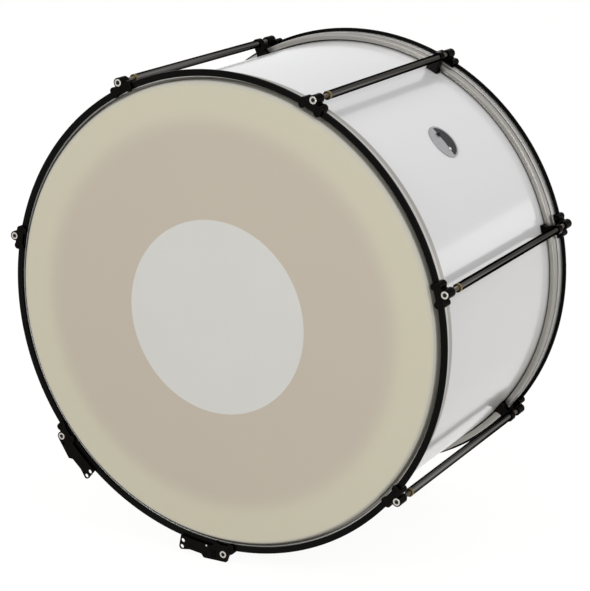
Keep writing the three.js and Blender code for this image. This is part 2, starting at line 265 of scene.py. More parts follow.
def rounded(corners: Sequence[Sequence[float]], radius: float | Sequence[float],
            steps: int = 4) -> np.ndarray:
    """Closed outline whose corners are arcs that touch both of their sides.

    Each arc runs from the point that lies radius / tan(half the corner's angle) along one side to
    the same point on the other, on a circle about a centre on the corner's bisector.

    Args:
        corners: the outline's corners.
        radius: arc radius, one for all corners or one for each. Zero keeps a corner sharp.
        steps: chords in an arc.

    Returns:
        Array of the outline's points.
    """
    points = np.asarray(corners, float)
    size = np.maximum(np.broadcast_to(radius, len(points)), SHARP_ARC)[:, None]
    back = np.roll(points, 1, axis=0) - points
    ahead = np.roll(points, -1, axis=0) - points
    back /= np.linalg.norm(back, axis=1, keepdims=True)
    ahead /= np.linalg.norm(ahead, axis=1, keepdims=True)
    half = np.arccos(np.clip((back * ahead).sum(1, keepdims=True), -1, 1)) / 2
    bisector = back + ahead
    bisector /= np.linalg.norm(bisector, axis=1, keepdims=True)
    centre = points + bisector * size / np.sin(half)
    first = points + back * size / np.tan(half) - centre
    last = points + ahead * size / np.tan(half) - centre
    sweep = (math.pi - 2 * half)[:, :, None]
    share = np.linspace(0, 1, steps + 1)[None, :, None]
    arcs = np.sin((1 - share) * sweep) * first[:, None] + np.sin(share * sweep) * last[:, None]
    return (centre[:, None] + arcs / np.sin(sweep)).reshape(-1, 2)


def turned(name: str, outline: Sequence[Sequence[float]], facets: int,
           place: np.ndarray | None = None) -> bpy.types.Object:
    """Solid of revolution: the point (radius, depth) at angle a lies at (r sin a, depth, r cos a).

    Args:
        name: name of the object.
        outline: closed outline of (radius, depth) points.
        facets: flat strips round the solid.
        place: matrix that the points go through.

    Returns:
        The closed object.
    """
    radius, depth = np.asarray(outline, float).T[:, :, None]
    angle = np.linspace(0, TURN, facets, endpoint=False)[None, :]
    across = np.zeros_like(angle)
    points = np.stack([radius * np.sin(angle), depth + across, radius * np.cos(angle)], -1)
    return lattice(name, points, place)


def band(radius: float, wall: float, near: float, far: float,
         arcs: float | Sequence[float]) -> np.ndarray:
    """Outline of a ring with four rounded corners, as (radius, depth) points.

    Args:
        radius: outer radius.
        wall: thickness along the radius.
        near: depth of its near face.
        far: depth of its far face.
        arcs: arc radii, from the outer near corner by way of the outer far one.

    Returns:
        Array of the outline's points.
    """
    inner = radius - wall
    return rounded([(radius, near), (radius, far), (inner, far), (inner, near)], arcs)


def plate(name: str, outline: np.ndarray, front: float, back: float) -> bpy.types.Object:
    """Flat outline of (x, radius) points given thickness between two depths, with flat ends.

    Args:
        name: name of the object.
        outline: closed outline.
        front: depth of the near face.
        back: depth of the far face.

    Returns:
        The closed object, with its faces turned outwards.
    """
    count = len(outline)
    sides = [np.insert(outline, 1, depth, axis=1) for depth in (front, back)]
    number = np.arange(count)
    after = np.roll(number, -1)
    walls = np.stack([number, after, after + count, number + count], 1).tolist()
    ends = [number[::-1].tolist(), (number + count).tolist()]
    return new_object(name, np.vstack(sides), walls + ends, outwards=False)


def peg(name: str, radius: float, front: float, back: float, at: Pair,
        chamfer: float = 0.0, facets: int = 48) -> bpy.types.Object:
    """Round bar along the depth, between two depths, about the point (x, radius) that is given.

    Args:
        name: name of the object.
        radius: radius of the bar.
        front: depth of the near end.
        back: depth of the far end.
        at: where its axis stands.
        chamfer: radius of the arc at its two rims.
        facets: flat strips round it.

    Returns:
        The closed object.
    """
    corners = [(0, front), (radius, front), (radius, back), (0, back)]
    return turned(name, rounded(corners, [0, chamfer, chamfer, 0]), facets, shifted(at[0], 0, at[1]))


def baked(piece: bpy.types.Object) -> bpy.types.Object:
    """Applies a piece's modifiers to its mesh.

    Args:
        piece: the object.

    Returns:
        The same object, with no modifiers left.
    """
    graph = bpy.context.evaluated_depsgraph_get()
    graph.update()
    old = piece.data
    fresh = bpy.data.meshes.new_from_object(piece.evaluated_get(graph))
    piece.modifiers.clear()
    piece.data = fresh
    bpy.data.meshes.remove(old)
    return piece


def shaped(piece: bpy.types.Object, cutters: Sequence[bpy.types.Object]) -> bpy.types.Object:
    """Cuts others away from a piece. They are used up.

    Args:
        piece: what is cut.
        cutters: the objects that cut it.

    Returns:
        The cut piece.
    """
    for cutter in cutters:
        step = piece.modifiers.new(cutter.name, "BOOLEAN")
        step.operation, step.solver = "DIFFERENCE", "EXACT"
        step.object = cutter
    baked(piece)
    for cutter in cutters:
        bpy.data.objects.remove(cutter)
    return piece


def cast(name: str, parts: Sequence[bpy.types.Object], grain: float, softness: int) -> bpy.types.Object:
    """Melts overlapping solids into one skin with small fillets, as a casting has.

    Args:
        name: name of the casting.
        parts: the solids, which are used up.
        grain: size of the skin's cells, in millimetres.
        softness: how many times the skin is smoothed.

    Returns:
        The casting.
    """
    work = bmesh.new()
    for part in parts:
        work.from_mesh(part.data)
    mesh = bpy.data.meshes.new(name)
    work.to_mesh(mesh)
    work.free()
    for part in parts:
        bpy.data.objects.remove(part)
    made = linked(name, mesh)
    skin = made.modifiers.new("skin", "REMESH")
    skin.mode = "VOXEL"
    skin.voxel_size = grain * MM
    fillets = made.modifiers.new("fillets", "SMOOTH")
    fillets.factor = 0.5
    fillets.iterations = softness
    return baked(made)


def copy_at(name: str, pattern: bpy.types.Object, place: np.ndarray,
            mirrored: bool = False) -> bpy.types.Object:
    """Copy of a pattern with its place in its mesh.

    Args:
        name: name of the copy.
        pattern: the object that is copied.
        place: matrix in millimetres that the copy goes through.
        mirrored: whether x is reversed first.

    Returns:
        The copy.
    """
    mesh = pattern.data.copy()
    mesh.name = name
    matrix = Matrix(place.tolist())
    matrix.translation *= MM
    if mirrored:
        matrix = matrix @ Matrix.Diagonal((-1, 1, 1, 1))
        mesh.flip_normals()
    mesh.transform(matrix)
    return linked(name, mesh)


def smooth(piece: bpy.types.Object, crease: float) -> None:
    """Shades a piece smooth, with edges past the crease angle kept sharp and flat faces kept flat.

    Args:
        piece: the object.
        crease: angle in degrees.
    """
    piece.data.shade_smooth()
    piece.data.set_sharp_from_angle(angle=math.radians(crease))
    weigh = piece.modifiers.new("flat faces", "WEIGHTED_NORMAL")
    weigh.keep_sharp = True


# Shaders


WHITE: Colour = (1.0, 1.0, 1.0, 1.0)


def colour(red: int, green: int, blue: int) -> Colour:
    """Linear colour of an eight-bit display colour.

    Args:
        red: red, from 0 to 255.
        green: green.
        blue: blue.

    Returns:
        The colour with an alpha of 1.
    """
    values = [channel / 255 for channel in (red, green, blue)]
    linear = [v / 12.92 if v <= 0.04045 else ((v + 0.055) / 1.055) ** 2.4 for v in values]
    return (*linear, 1.0)


def operator(operation: str, reflected: bool = False) -> Callable[["Wire", "Wire | float"], "Wire"]:
    """Makes a method of a wire that adds one Math node.

    Args:
        operation: the node's operation.
        reflected: whether the wire is the second of the two values.

    Returns:
        The method.
    """

    def apply(wire: "Wire", other: "Wire | float") -> "Wire":
        """Result of the operation on the wire and a value."""
        return wire.tree.maths(operation, *((other, wire) if reflected else (wire, other)))

    return apply


class Wire:
    """A number in a node tree. Arithmetic on it adds Math nodes."""

    __add__ = operator("ADD")
    __radd__ = operator("ADD", True)
    __sub__ = operator("SUBTRACT")
    __rsub__ = operator("SUBTRACT", True)
    __mul__ = operator("MULTIPLY")
    __rmul__ = operator("MULTIPLY", True)
    __truediv__ = operator("DIVIDE")
    __pow__ = operator("POWER")

    def __init__(self, tree: "Tree", socket: bpy.types.NodeSocket) -> None:
        """Wraps an output socket."""
        self.tree = tree
        self.socket = socket

    def rising(self, low: float, high: float) -> "Wire":
        """Smooth step from 0 at low to 1 at high.

        Args:
            low: where the step starts.
            high: where it ends.

        Returns:
            The step.
        """
        ramp = self.tree.node("ShaderNodeMapRange", {"interpolation_type": "SMOOTHSTEP", "clamp": True},
                              {0: self, 1: low, 2: high, 3: 0.0, 4: 1.0})
        return Wire(self.tree, ramp.outputs[0])


class Tree:
    """Node tree of a material or a world, filled from empty."""

    def __init__(self, owner: bpy.types.Material | bpy.types.World) -> None:
        """Empties the owner's tree.

        Args:
            owner: the material or world.
        """
        owner.use_nodes = True
        self.graph = owner.node_tree
        self.graph.nodes.clear()

    def node(self, kind: str, settings: dict | None = None, values: dict | None = None) -> bpy.types.Node:
        """Adds a node.

        Args:
            kind: type of the node.
            settings: its properties, set first.
            values: its inputs by name or number, each a number, a colour, a Wire or a socket.

        Returns:
            The node.
        """
        made = self.graph.nodes.new(kind)
        for key, value in (settings or {}).items():
            setattr(made, key, value)
        for key, value in (values or {}).items():
            self.feed(made.inputs[key], value)
        return made

    def feed(self, socket: bpy.types.NodeSocket, value: object) -> None:
        """Links a wire or socket to an input, or sets the input's own value.

        Args:
            socket: the input.
            value: a number, a colour, a Wire or a socket.
        """
        source = value.socket if isinstance(value, Wire) else value
        if isinstance(source, bpy.types.NodeSocket):
            self.graph.links.new(source, socket)
        else:
            socket.default_value = source

    def maths(self, operation: str, *values: Wire | float) -> Wire:
        """Adds a Math node."""
        made = self.node("ShaderNodeMath", {"operation": operation}, dict(enumerate(values)))
        return Wire(self, made.outputs[0])

    def seen(self) -> Wire:
        """1 on what the camera sees directly, in gloss or through glass, and 0 on what only gives light.

        Returns:
            The wire of that.
        """
        path = self.node("ShaderNodeLightPath")
        camera, gloss, through = (Wire(self, path.outputs[f"Is {ray} Ray"])
                                  for ray in ("Camera", "Glossy", "Transmission"))
        return self.maths("MAXIMUM", self.maths("MAXIMUM", camera, gloss), through)


class Shader(Tree):
    """Node tree of one material, with a Principled shader in it."""

    def __init__(self, name: str) -> None:
        """Starts a material.

        Args:
            name: name of the material.
        """
        self.material = bpy.data.materials.new(name)
        super().__init__(self.material)
        self.surface = self.node("ShaderNodeBsdfPrincipled")
        self.output = self.node("ShaderNodeOutputMaterial", {}, {"Surface": self.surface.outputs[0]})

    def place(self) -> tuple[Wire, Wire, Wire]:
        """X, Y and Z of the surface in the drum's frame, in metres, as Object coordinates give it.

        Returns:
            The three coordinates.
        """
        place = self.node("ShaderNodeTexCoord").outputs["Object"]
        parts = self.node("ShaderNodeSeparateXYZ", {}, {0: place})
        return tuple(Wire(self, output) for output in parts.outputs)

    def attribute(self, name: str) -> Wire:
        """Number that the piece's mesh holds at each point."""
        return Wire(self, self.node("ShaderNodeAttribute", {"attribute_name": name}).outputs["Fac"])

    def radial(self, shift: Pair = (0.0, 0.0)) -> Wire:
        """Distance from the drum's axis, or from a line beside it: the root of the sum of two squares.

        Args:
            shift: how far the line lies from the axis along X and Z, in millimetres.

        Returns:
            The distance in millimetres.
        """
        x, _, z = self.place()
        across = x / MM - shift[0]
        up = z / MM - (LAYOUT.axis_height + shift[1])
        return (across * across + up * up) ** 0.5

    def noise(self, scale: float, detail: float, stretch: Place = (1, 1, 1)) -> Wire:
        """Noise from 0 to 1 over the surface.

        Args:
            scale: features in a metre.
            detail: number of octaves.
            stretch: factor on each coordinate.

        Returns:
            The noise.
        """
        place = self.node("ShaderNodeTexCoord").outputs["Object"]
        mapping = self.node("ShaderNodeMapping", {}, {"Vector": place, "Scale": stretch})
        made = self.node("ShaderNodeTexNoise", {},
                         {"Vector": mapping.outputs[0], "Scale": scale, "Detail": detail})
        return Wire(self, made.outputs[0])

    def mix(self, share: Wire | float, low: object, high: object) -> bpy.types.NodeSocket:
        """Colour that goes from low to high as the share goes from 0 to 1."""
        return self.node("ShaderNodeMix", {"data_type": "RGBA"}, {0: share, 6: low, 7: high}).outputs[2]

    def relief(self, height: Wire, depth: float) -> None:
        """Bumps the surface by a height from 0 to 1 that stands for a depth in millimetres."""
        bump = self.node("ShaderNodeBump", {}, {"Strength": 1.0, "Distance": depth * MM, "Height": height})
        self.feed(self.surface.inputs["Normal"], bump.outputs[0])

    def set(self, **values: object) -> None:
        """Sets inputs of the Principled shader, named with underscores for spaces."""
        for key, value in values.items():
            self.feed(self.surface.inputs[key.replace("_", " ")], value)


@dataclass(frozen=True)
class Finish(ABC):
    """A finish that makes its material once. Its slot is the name of the record's material slot.

    A pattern in a finish is what Shader.noise takes, and depth is that of the relief.
    """

    slot: ClassVar[str]

    @abstractmethod
    def paint(self, shader: Shader) -> None:
        """Fills in the shader."""

    def material(self) -> bpy.types.Material:
        """The material, made on first use.

        Returns:
            The material.
        """
        name = type(self).__name__
        ready = bpy.data.materials.get(name)
        if ready is None:
            shader = Shader(name)
            self.paint(shader)
            ready = shader.material
        return ready


@dataclass(frozen=True)
class Mottled(Finish):
    """Two near colours in patches, with a gloss that varies a little and a fine relief."""

    first: Colour
    second: Colour
    patches: Pattern
    roughness: float
    cloud: Pattern
    cloudiness: float
    grain: Pattern
    depth: float
    metallic: float = 0.9
    mirror: float = 0.5
    edge: Colour = WHITE

    def tone(self, shader: Shader) -> bpy.types.NodeSocket:
        """The two colours, mixed in patches."""
        return shader.mix(shader.noise(*self.patches), self.first, self.second)

    def paint(self, shader: Shader) -> None:
        """Colour, gloss and relief from the fields.

        Args:
            shader: what is filled in.
        """
        shader.set(Base_Color=self.tone(shader), Metallic=self.metallic,
                   Roughness=self.roughness + shader.noise(*self.cloud) * self.cloudiness,
                   Specular_IOR_Level=self.mirror, Specular_Tint=self.edge)
        shader.relief(shader.noise(*self.grain), self.depth)


@dataclass(frozen=True)
class WhiteLacquer(Finish):
    """Gloss white lacquer outside, bare maple plies on the edges and inside."""

    slot: ClassVar[str] = "lacquer"
    white: Colour = colour(230, 230, 231)
    shade: Colour = colour(222, 222, 225)
    maple: Colour = colour(196, 160, 116)
    glue: Colour = colour(150, 112, 74)
    gloss: float = 0.16
    bare: float = 0.62
    coat: float = 0.22
    coat_roughness: float = 0.06
    ply: float = 1.17
    glue_line: Pair = (0.75, 0.95)
    skin: Pair = (304.2, 304.4)
    grain: Pattern = (420, 4, (1, 0.05, 1))
    grain_share: float = 0.3
    grain_height: float = 4.0
    drift: Pattern = (2.2, 2)
    drift_fade: Pair = (0.3, 0.7)
    drift_share: float = 0.35
    cloud: Pattern = (35, 3)
    cloudiness: float = 0.05
    ripple: Pattern = (260, 2)
    depth: float = 0.006

    def paint(self, shader: Shader) -> None:
        """Lacquer where the radius is that of the skin, and plies inside it.

        Args:
            shader: what is filled in.
        """
        radius = shader.radial()
        skin = radius.rising(*self.skin)
        layer = shader.maths("PINGPONG", radius, self.ply)
        plies = layer.rising(*(self.ply * share for share in self.glue_line))
        grain = shader.noise(*self.grain)
        wood = shader.mix(plies * (1 - self.grain_share) + grain * self.grain_share, self.maple, self.glue)
        drift = shader.noise(*self.drift).rising(*self.drift_fade)
        lacquer = shader.mix(drift * self.drift_share, self.white, self.shade)
        rough = self.bare - skin * (self.bare - self.gloss)
        shader.set(Base_Color=shader.mix(skin, wood, lacquer),
                   Roughness=rough + shader.noise(*self.cloud) * self.cloudiness,
                   Coat_Weight=skin * self.coat, Coat_Roughness=self.coat_roughness)
        ripple = shader.noise(*self.ripple) * skin
        shader.relief(ripple + grain * (1 - skin) * self.grain_height, self.depth)


@dataclass(frozen=True)
class HeadFilm(Finish):
    """Cream film with a soft darker disc in it, a little off the axis, and a greyer edge ring of painted
    shade and reflection where the film bends over the bearing edge.
    """

    slot: ClassVar[str] = "head_film"
    cream: Colour = colour(200, 194, 174)
    cream_drift: Colour = colour(198, 195, 173)
    disc: Colour = colour(188, 179, 165)
    disc_drift: Colour = colour(190, 181, 165)
    # Painted shade and reflection of the film's bend over the bearing edge.
    edge: Colour = colour(187, 185, 175)
    disc_fade: Pair = (237.0, 274.0)
    edge_shade_fade: Pair = (298.0, 306.0)
    drift: Pattern = (7, 3)
    drift_fade: Pair = (0.25, 0.75)
    drift_share: float = 0.5
    roughness: float = 0.48
    cloud: Pattern = (60, 3)
    cloudiness: float = 0.08
    grain: Pattern = (1500, 3)
    depth: float = 0.012
    mirror: float = 0.4

    def paint(self, shader: Shader) -> None:
        """Colours by the distance from the patch's centre, then from the drum's axis.

        Args:
            shader: what is filled in.
        """
        drift = shader.noise(*self.drift).rising(*self.drift_fade) * self.drift_share
        disc = shader.mix(drift, self.disc, self.disc_drift)
        cream = shader.mix(drift, self.cream, self.cream_drift)
        film = shader.mix(shader.radial(LAYOUT.patch_centre).rising(*self.disc_fade), disc, cream)
        # Towards the rim the film turns to the greyer painted shade and reflection of its bend.
        shader.set(Base_Color=shader.mix(shader.radial().rising(*self.edge_shade_fade), film, self.edge),
                   Roughness=self.roughness + shader.noise(*self.cloud) * self.cloudiness,
                   Specular_IOR_Level=self.mirror)
        shader.relief(shader.noise(*self.grain), self.depth)


@dataclass(frozen=True)
class PatchFilm(Mottled):
    """White coated film of the round patch on each head, nearly even, with a sprayed coat's grain."""

    slot: ClassVar[str] = "head_film"
    first: Colour = colour(208, 207, 203)
    second: Colour = colour(205, 204, 200)
    patches: Pattern = (9, 3)
    patch_fade: Pair = (0.3, 0.7)
    patch_share: float = 0.6
    roughness: float = 0.5
    cloud: Pattern = (60, 3)
    cloudiness: float = 0.08
    grain: Pattern = (1300, 3)
    depth: float = 0.015
    metallic: float = 0.0
    mirror: float = 0.4

    def tone(self, shader: Shader) -> bpy.types.NodeSocket:
        """The two whites in soft patches."""
        share = shader.noise(*self.patches).rising(*self.patch_fade) * self.patch_share
        return shader.mix(share, self.first, self.second)


@dataclass(frozen=True)
class BlackGuard(Mottled):
    """Black satin plastic whose gloss varies in patches."""

    slot: ClassVar[str] = "black_guard"
    first: Colour = colour(4, 4, 3)
    second: Colour = colour(9, 9, 8)
    patches: Pattern = (40, 3)
    roughness: float = 0.24
    cloud: Pattern = (90, 3)
    cloudiness: float = 0.1
    grain: Pattern = (900, 3)
    depth: float = 0.01
    metallic: float = 0.0
    mirror: float = 0.05


@dataclass(frozen=True)
class BlackCasting(Mottled):
    """Die casting with a hard gloss black coat, which mirrors a little less toward its edges."""

    slot: ClassVar[str] = "black_claw"
    first: Colour = colour(13, 12, 11)
    second: Colour = colour(24, 22, 20)
    patches: Pattern = (120, 3)
    roughness: float = 0.06
    cloud: Pattern = (300, 2)
    cloudiness: float = 0.1
    grain: Pattern = (900, 2)
    depth: float = 0.02
    metallic: float = 1.0
    edge: Colour = colour(190, 190, 190)


@dataclass(frozen=True)
class BlackBlock(BlackCasting):
    """The same coat on the blocks on the shell, a little darker."""

    slot: ClassVar[str] = "black_block"
    first: Colour = colour(11, 11, 11)
    second: Colour = colour(18, 17, 16)


@dataclass(frozen=True)
class BareAluminium(Finish):
    """Satin aluminium, drawn round the drum."""

    slot: ClassVar[str] = "hoop_aluminium"
    metal: Colour = colour(198, 197, 195)
    drawn: Colour = colour(164, 162, 158)
    lines: Pattern = (900, 3, (0.004, 1, 0.004))
    patches: Pattern = (14, 3)
    shares: Pair = (0.6, 0.3)
    metallic: float = 0.85
    roughness: float = 0.3
    lines_roughness: float = 0.14
    depth: float = 0.008

    def paint(self, shader: Shader) -> None:
        """Fine lines round the drum, which vary along the depth only, and faint patches.

        Args:
            shader: what is filled in.
        """
        lines, patches = shader.noise(*self.lines), shader.noise(*self.patches)
        share = lines * self.shares[0] + patches * self.shares[1]
        shader.set(Base_Color=shader.mix(share, self.metal, self.drawn), Metallic=self.metallic,
                   Roughness=self.roughness + lines * self.lines_roughness)
        shader.relief(lines, self.depth)


@dataclass(frozen=True)
class MillAluminium(BareAluminium):
    """Duller aluminium of the channel that holds the head's edge."""

    metal: Colour = colour(168, 165, 160)
    drawn: Colour = colour(140, 137, 131)


@dataclass(frozen=True)
class GunmetalPlate(Finish):
    """Dark plating on the tension tubes, black where it is seen at a slant."""

    slot: ClassVar[str] = "gunmetal_tube"
    metal: Colour = colour(92, 91, 90)
    streak: Colour = colour(112, 111, 109)
    edge: Colour = colour(0, 0, 0)
    lines: Pattern = (420, 2, (1, 0.01, 1))
    line_fade: Pair = (0.35, 0.65)
    roughness: float = 0.08
    cloud: Pattern = (60, 3)
    cloudiness: float = 0.06
    depth: float = 0.003

    def paint(self, shader: Shader) -> None:
        """Dark metal, drawn along its length, with faint patches.

        Args:
            shader: what is filled in.
        """
        lines = shader.noise(*self.lines)
        shader.set(Base_Color=shader.mix(lines.rising(*self.line_fade), self.metal, self.streak),
                   Metallic=1.0, Specular_Tint=self.edge,
                   Roughness=self.roughness + shader.noise(*self.cloud) * self.cloudiness)
        shader.relief(lines, self.depth)


@dataclass(frozen=True)
class TurnedBrass(Mottled):
    """Machined brass of the tubes' inserts, a little darker in patches."""

    slot: ClassVar[str] = "brass"
    first: Colour = colour(118, 100, 60)
    second: Colour = colour(90, 74, 42)
    patches: Pattern = (250, 3)
    roughness: float = 0.32
    cloud: Pattern = (500, 2)
    cloudiness: float = 0.12
    grain: Pattern = (1500, 2)
    depth: float = 0.004


@dataclass(frozen=True)
class ZincPlate(Mottled):
    """Zinc-plated steel, pale with a slightly cloudy gloss."""

    slot: ClassVar[str] = "screw_steel"
    first: Colour = colour(214, 211, 205)
    second: Colour = colour(176, 172, 165)
    patches: Pattern = (400, 3)
    roughness: float = 0.24
    cloud: Pattern = (700, 2)
    cloudiness: float = 0.14
    grain: Pattern = (1800, 2)
    depth: float = 0.004


@dataclass(frozen=True)
class ZincScrew(ZincPlate):
    """Zinc-plated steel of the screws, with painted shade in the socket and between the threads."""

    # Painted shade: the dark of the socket's inside and of the roots between the threads.
    recess_shade: Colour = colour(38, 35, 32)
    threads: Colour = colour(112, 105, 96)
    socket_fade: Pair = (2.55, 2.85)
    thread_fade: Pair = (2.6, 3.0)
    head_fade: Pair = (0.2, 1.0)

    def tone(self, shader: Shader) -> bpy.types.NodeSocket:
        """Pale head, browner shank with painted shade in its thread roots, and painted shade in the socket,
        told apart by reach and depth.

        Args:
            shader: what the colours go into.

        Returns:
            The mixed colour.
        """
        reach, depth = shader.attribute("reach"), shader.attribute("depth")
        # Painted shade fills the socket and, below, the thread roots between the crests.
        socket = 1 - reach.rising(*self.socket_fade)
        face = shader.mix(socket, super().tone(shader), self.recess_shade)
        shank = shader.mix(reach.rising(*self.thread_fade), self.recess_shade, self.threads)
        return shader.mix(depth.rising(*self.head_fade), face, shank)


@dataclass(frozen=True)
class DarkSteel(Mottled):
    """Dark satin steel of the vent's eyelet."""

    slot: ClassVar[str] = "dark_steel"
    first: Colour = colour(52, 50, 49)
    second: Colour = colour(34, 33, 32)
    patches: Pattern = (300, 2)
    roughness: float = 0.34
    cloud: Pattern = (500, 2)
    cloudiness: float = 0.1
    grain: Pattern = (1500, 2)
    depth: float = 0.003
    metallic: float = 0.85


@dataclass(frozen=True)
class BadgeMetal(Finish):
    """Satin plate, black on the half that lies to the rear."""

    slot: ClassVar[str] = "badge_metal"
    silver: Colour = colour(176, 176, 178)
    drawn: Colour = colour(150, 150, 152)
    black: Colour = colour(14, 14, 20)
    metallic: float = 0.75
    roughness: float = 0.34
    roughness_change: float = 0.1
    mirror: float = 0.2
    lines: Pattern = (900, 3, (1, 0.01, 1))
    depth: float = 0.006
    border: Pair = (22.1, 22.7)
    half: Pair = (0.2, 0.7)
    middle: Place = (0.0, 0.0, 0.0)

    def paint(self, shader: Shader) -> None:
        """Black past the plate's middle line and inside its border, drawn along the axis elsewhere.

        Args:
            shader: what is filled in.
        """
        x, y, z = (part / MM - centre for part, centre in zip(shader.place(), self.middle))
        reach = (x * x + y * y + z * z) ** 0.5
        dark = (1 - reach.rising(*self.border)) * y.rising(*self.half)
        lines = shader.noise(*self.lines)
        plain = shader.mix(lines, self.silver, self.drawn)
        shader.set(Base_Color=shader.mix(dark, plain, self.black),
                   Metallic=self.metallic - dark * self.metallic,
                   Roughness=self.roughness + lines * self.roughness_change,
                   Specular_IOR_Level=self.mirror)
        shader.relief(lines * (1 - dark), self.depth)


# Pieces


def seat(piece: bpy.types.Object, body: str, finish: Finish, nodes: Sequence[str] = (),
         crease: float = 32.0) -> None:
    """Smooths and dresses a piece, sets it on its body and reports it.

    Args:
        piece: the object.
        body: name of the body that it rides on.
        finish: its finish.
        nodes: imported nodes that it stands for.
        crease: angle in degrees past which its edges stay sharp.
    """
    smooth(piece, crease)
    piece.data.materials.clear()
    piece.data.materials.append(finish.material())
    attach(piece, body)
    if nodes:
        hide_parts(*nodes)
    log.info("%s rides on %s", piece.name, body)


def dome(radius: float, base: float, rise: float, steps: int) -> np.ndarray:
    """Outline of a low dome: past the base, the height falls with the square of the radius."""
    share = np.linspace(0, 1, steps)
    return np.stack([share * radius, base + rise * (1 - share ** 2)], 1)


@dataclass
class Shell:
    """The shell with its bearing edges, its badge and its vent."""

    wall: float = 7.0
    countercut: float = 1.5
    wall_arcs: Arcs = (0.8, 0.8, 0.7, 0.5, 0.5, 0.7)
    badge_radius: float = 25.0
    badge_rise: float = 1.3
    badge_border: float = 2.4
    badge_slope: float = 0.6
    badge_sink: float = 0.35
    badge_arcs: Arcs = (0, 0.15, 0.5, 0.4, 0.4, 0)
    badge_facets: int = 96
    badge_depth: float = 201.5
    badge_arc: float = 245.0
    vent_depth_offset: float = 1.0
    vent_arc_offset: float = -11.5
    rivet_arc_offset: float = 12.0
    vent_bore: float = 1.8
    vent_barrel: float = 2.6
    vent_flange: float = 3.5
    vent_rise: float = 2.6
    vent_arcs: Arcs = (0.1, 0.1, 0.05, 0.3, 0.5, 0.6)
    rivet_radius: float = 2.6
    rivet_rise: float = 1.3
    rivet_sink: float = 0.2
    spoke_facets: int = 40
    radius: float = field(init=False)
    edge_depth: float = field(init=False)

    def __post_init__(self) -> None:
        """Reads the shell's radius and the depth of its edge."""
        self.radius, self.edge_depth, _ = LAYOUT.ring("shell")

    def build(self) -> None:
        """Makes the shell, the badge, the vent's eyelet and the rivet."""
        seat(shaped(self.drum_wall(), [self.vent_hole()]), "shell", WhiteLacquer(), ["shell"])
        metal = BadgeMetal(middle=tuple(self.on_shell(0, 0)))
        seat(shaped(self.badge(), [self.vent_hole()]), "shell", metal, ["badge"])
        seat(self.eyelet(), "shell", DarkSteel(), ["vent_eyelet"])
        seat(self.rivet(), "shell", ZincPlate())

    def drum_wall(self) -> bpy.types.Object:
        """Turned wall whose ends rise to the bearing edge's crest and fall away inside it.

        Returns:
            The wall.
        """
        outer, inner, crest = self.radius, self.radius - self.wall, self.radius - LAYOUT.crest_inset
        start, end = self.edge_depth, 2 * LAYOUT.half_length - self.edge_depth
        corners = [(outer, start + LAYOUT.bevel), (outer, end - LAYOUT.bevel), (crest, end),
                   (inner, end - self.countercut), (inner, start + self.countercut), (crest, start)]
        outline = rounded(corners, self.wall_arcs)
        return turned("shell_wall", outline, LAYOUT.ring_facets, LAYOUT.side_place(Side.FRONT))

    def on_shell(self, depth: float, arc: float) -> np.ndarray:
        """Point on the shell in the drum's frame, from its offsets to the badge's middle.

        Args:
            depth: offset along the axis.
            arc: offset along the shell, clockwise.

        Returns:
            The point in millimetres.
        """
        angle = (self.badge_arc + arc) / self.radius
        point = [self.radius * math.sin(angle), self.badge_depth + depth, self.radius * math.cos(angle)]
        return placed(np.array([point]), LAYOUT.side_place(Side.FRONT))[0]

    def spoke(self, name: str, outline: Sequence[Sequence[float]], depth: float,
              arc: float) -> bpy.types.Object:
        """Solid of revolution about the outward line at a point on the shell.

        The line's frame is the drum's axis, the outward direction and the shell's arc.

        Args:
            name: name of the object.
            outline: closed outline of (radius, rise) points.
            depth: offset from the badge's middle along the axis.
            arc: offset from it along the shell.

        Returns:
            The closed object.
        """
        angle = (self.badge_arc + arc) / self.radius
        place = shifted(*self.on_shell(depth, arc))
        place[:3, 0] = 0, 1, 0
        place[:3, 1] = math.sin(angle), 0, math.cos(angle)
        place[:3, 2] = math.cos(angle), 0, -math.sin(angle)
        return turned(name, outline, self.spoke_facets, place)

    def vent_hole(self) -> bpy.types.Object:
        """Bar that cuts the vent's hole, a clearance wider than its barrel.

        Returns:
            The bar.
        """
        radius, low, high = self.vent_barrel + LAYOUT.clearance, -2 * self.wall, self.wall
        outline = [(0, low), (radius, low), (radius, high), (0, high)]
        return self.spoke("vent hole", outline, self.vent_depth_offset, self.vent_arc_offset)

    def badge(self) -> bpy.types.Object:
        """Round plate bent to the shell, with a raised border.

        A point of the outline (r, rise) at angle a lies r cos a along the axis and r sin a along
        the shell from the middle, at that rise over the shell.

        Returns:
            The plate.
        """
        radius, rise, under = self.badge_radius, self.badge_rise, LAYOUT.clearance
        inside, top = radius - self.badge_border, rise - self.badge_sink
        corners = [(0, under), (radius, under), (radius, rise), (inside + self.badge_slope, rise),
                   (inside, top), (0, top)]
        outline = rounded(corners, self.badge_arcs)
        radial, height = outline.T[:, :, None]
        angle = np.linspace(0, TURN, self.badge_facets, endpoint=False)[None, :]
        turn = (self.badge_arc + radial * np.sin(angle)) / self.radius
        reach = self.radius + height
        depth = self.badge_depth + radial * np.cos(angle)
        points = np.stack([reach * np.sin(turn), depth, reach * np.cos(turn)], -1)
        return lattice("badge_plate", points, LAYOUT.side_place(Side.FRONT))

    def eyelet(self) -> bpy.types.Object:
        """Barrel through the wall with a flange rolled over the badge.

        Returns:
            The eyelet.
        """
        bore, barrel, flange = self.vent_bore, self.vent_barrel, self.vent_flange
        under, top = self.badge_rise + LAYOUT.clearance, self.vent_rise
        corners = [(bore, -self.wall), (barrel, -self.wall), (barrel, under), (flange, under), (flange, top),
                   (bore, top)]
        outline = rounded(corners, self.vent_arcs)
        return self.spoke("vent_eyelet_rolled", outline, self.vent_depth_offset, self.vent_arc_offset)

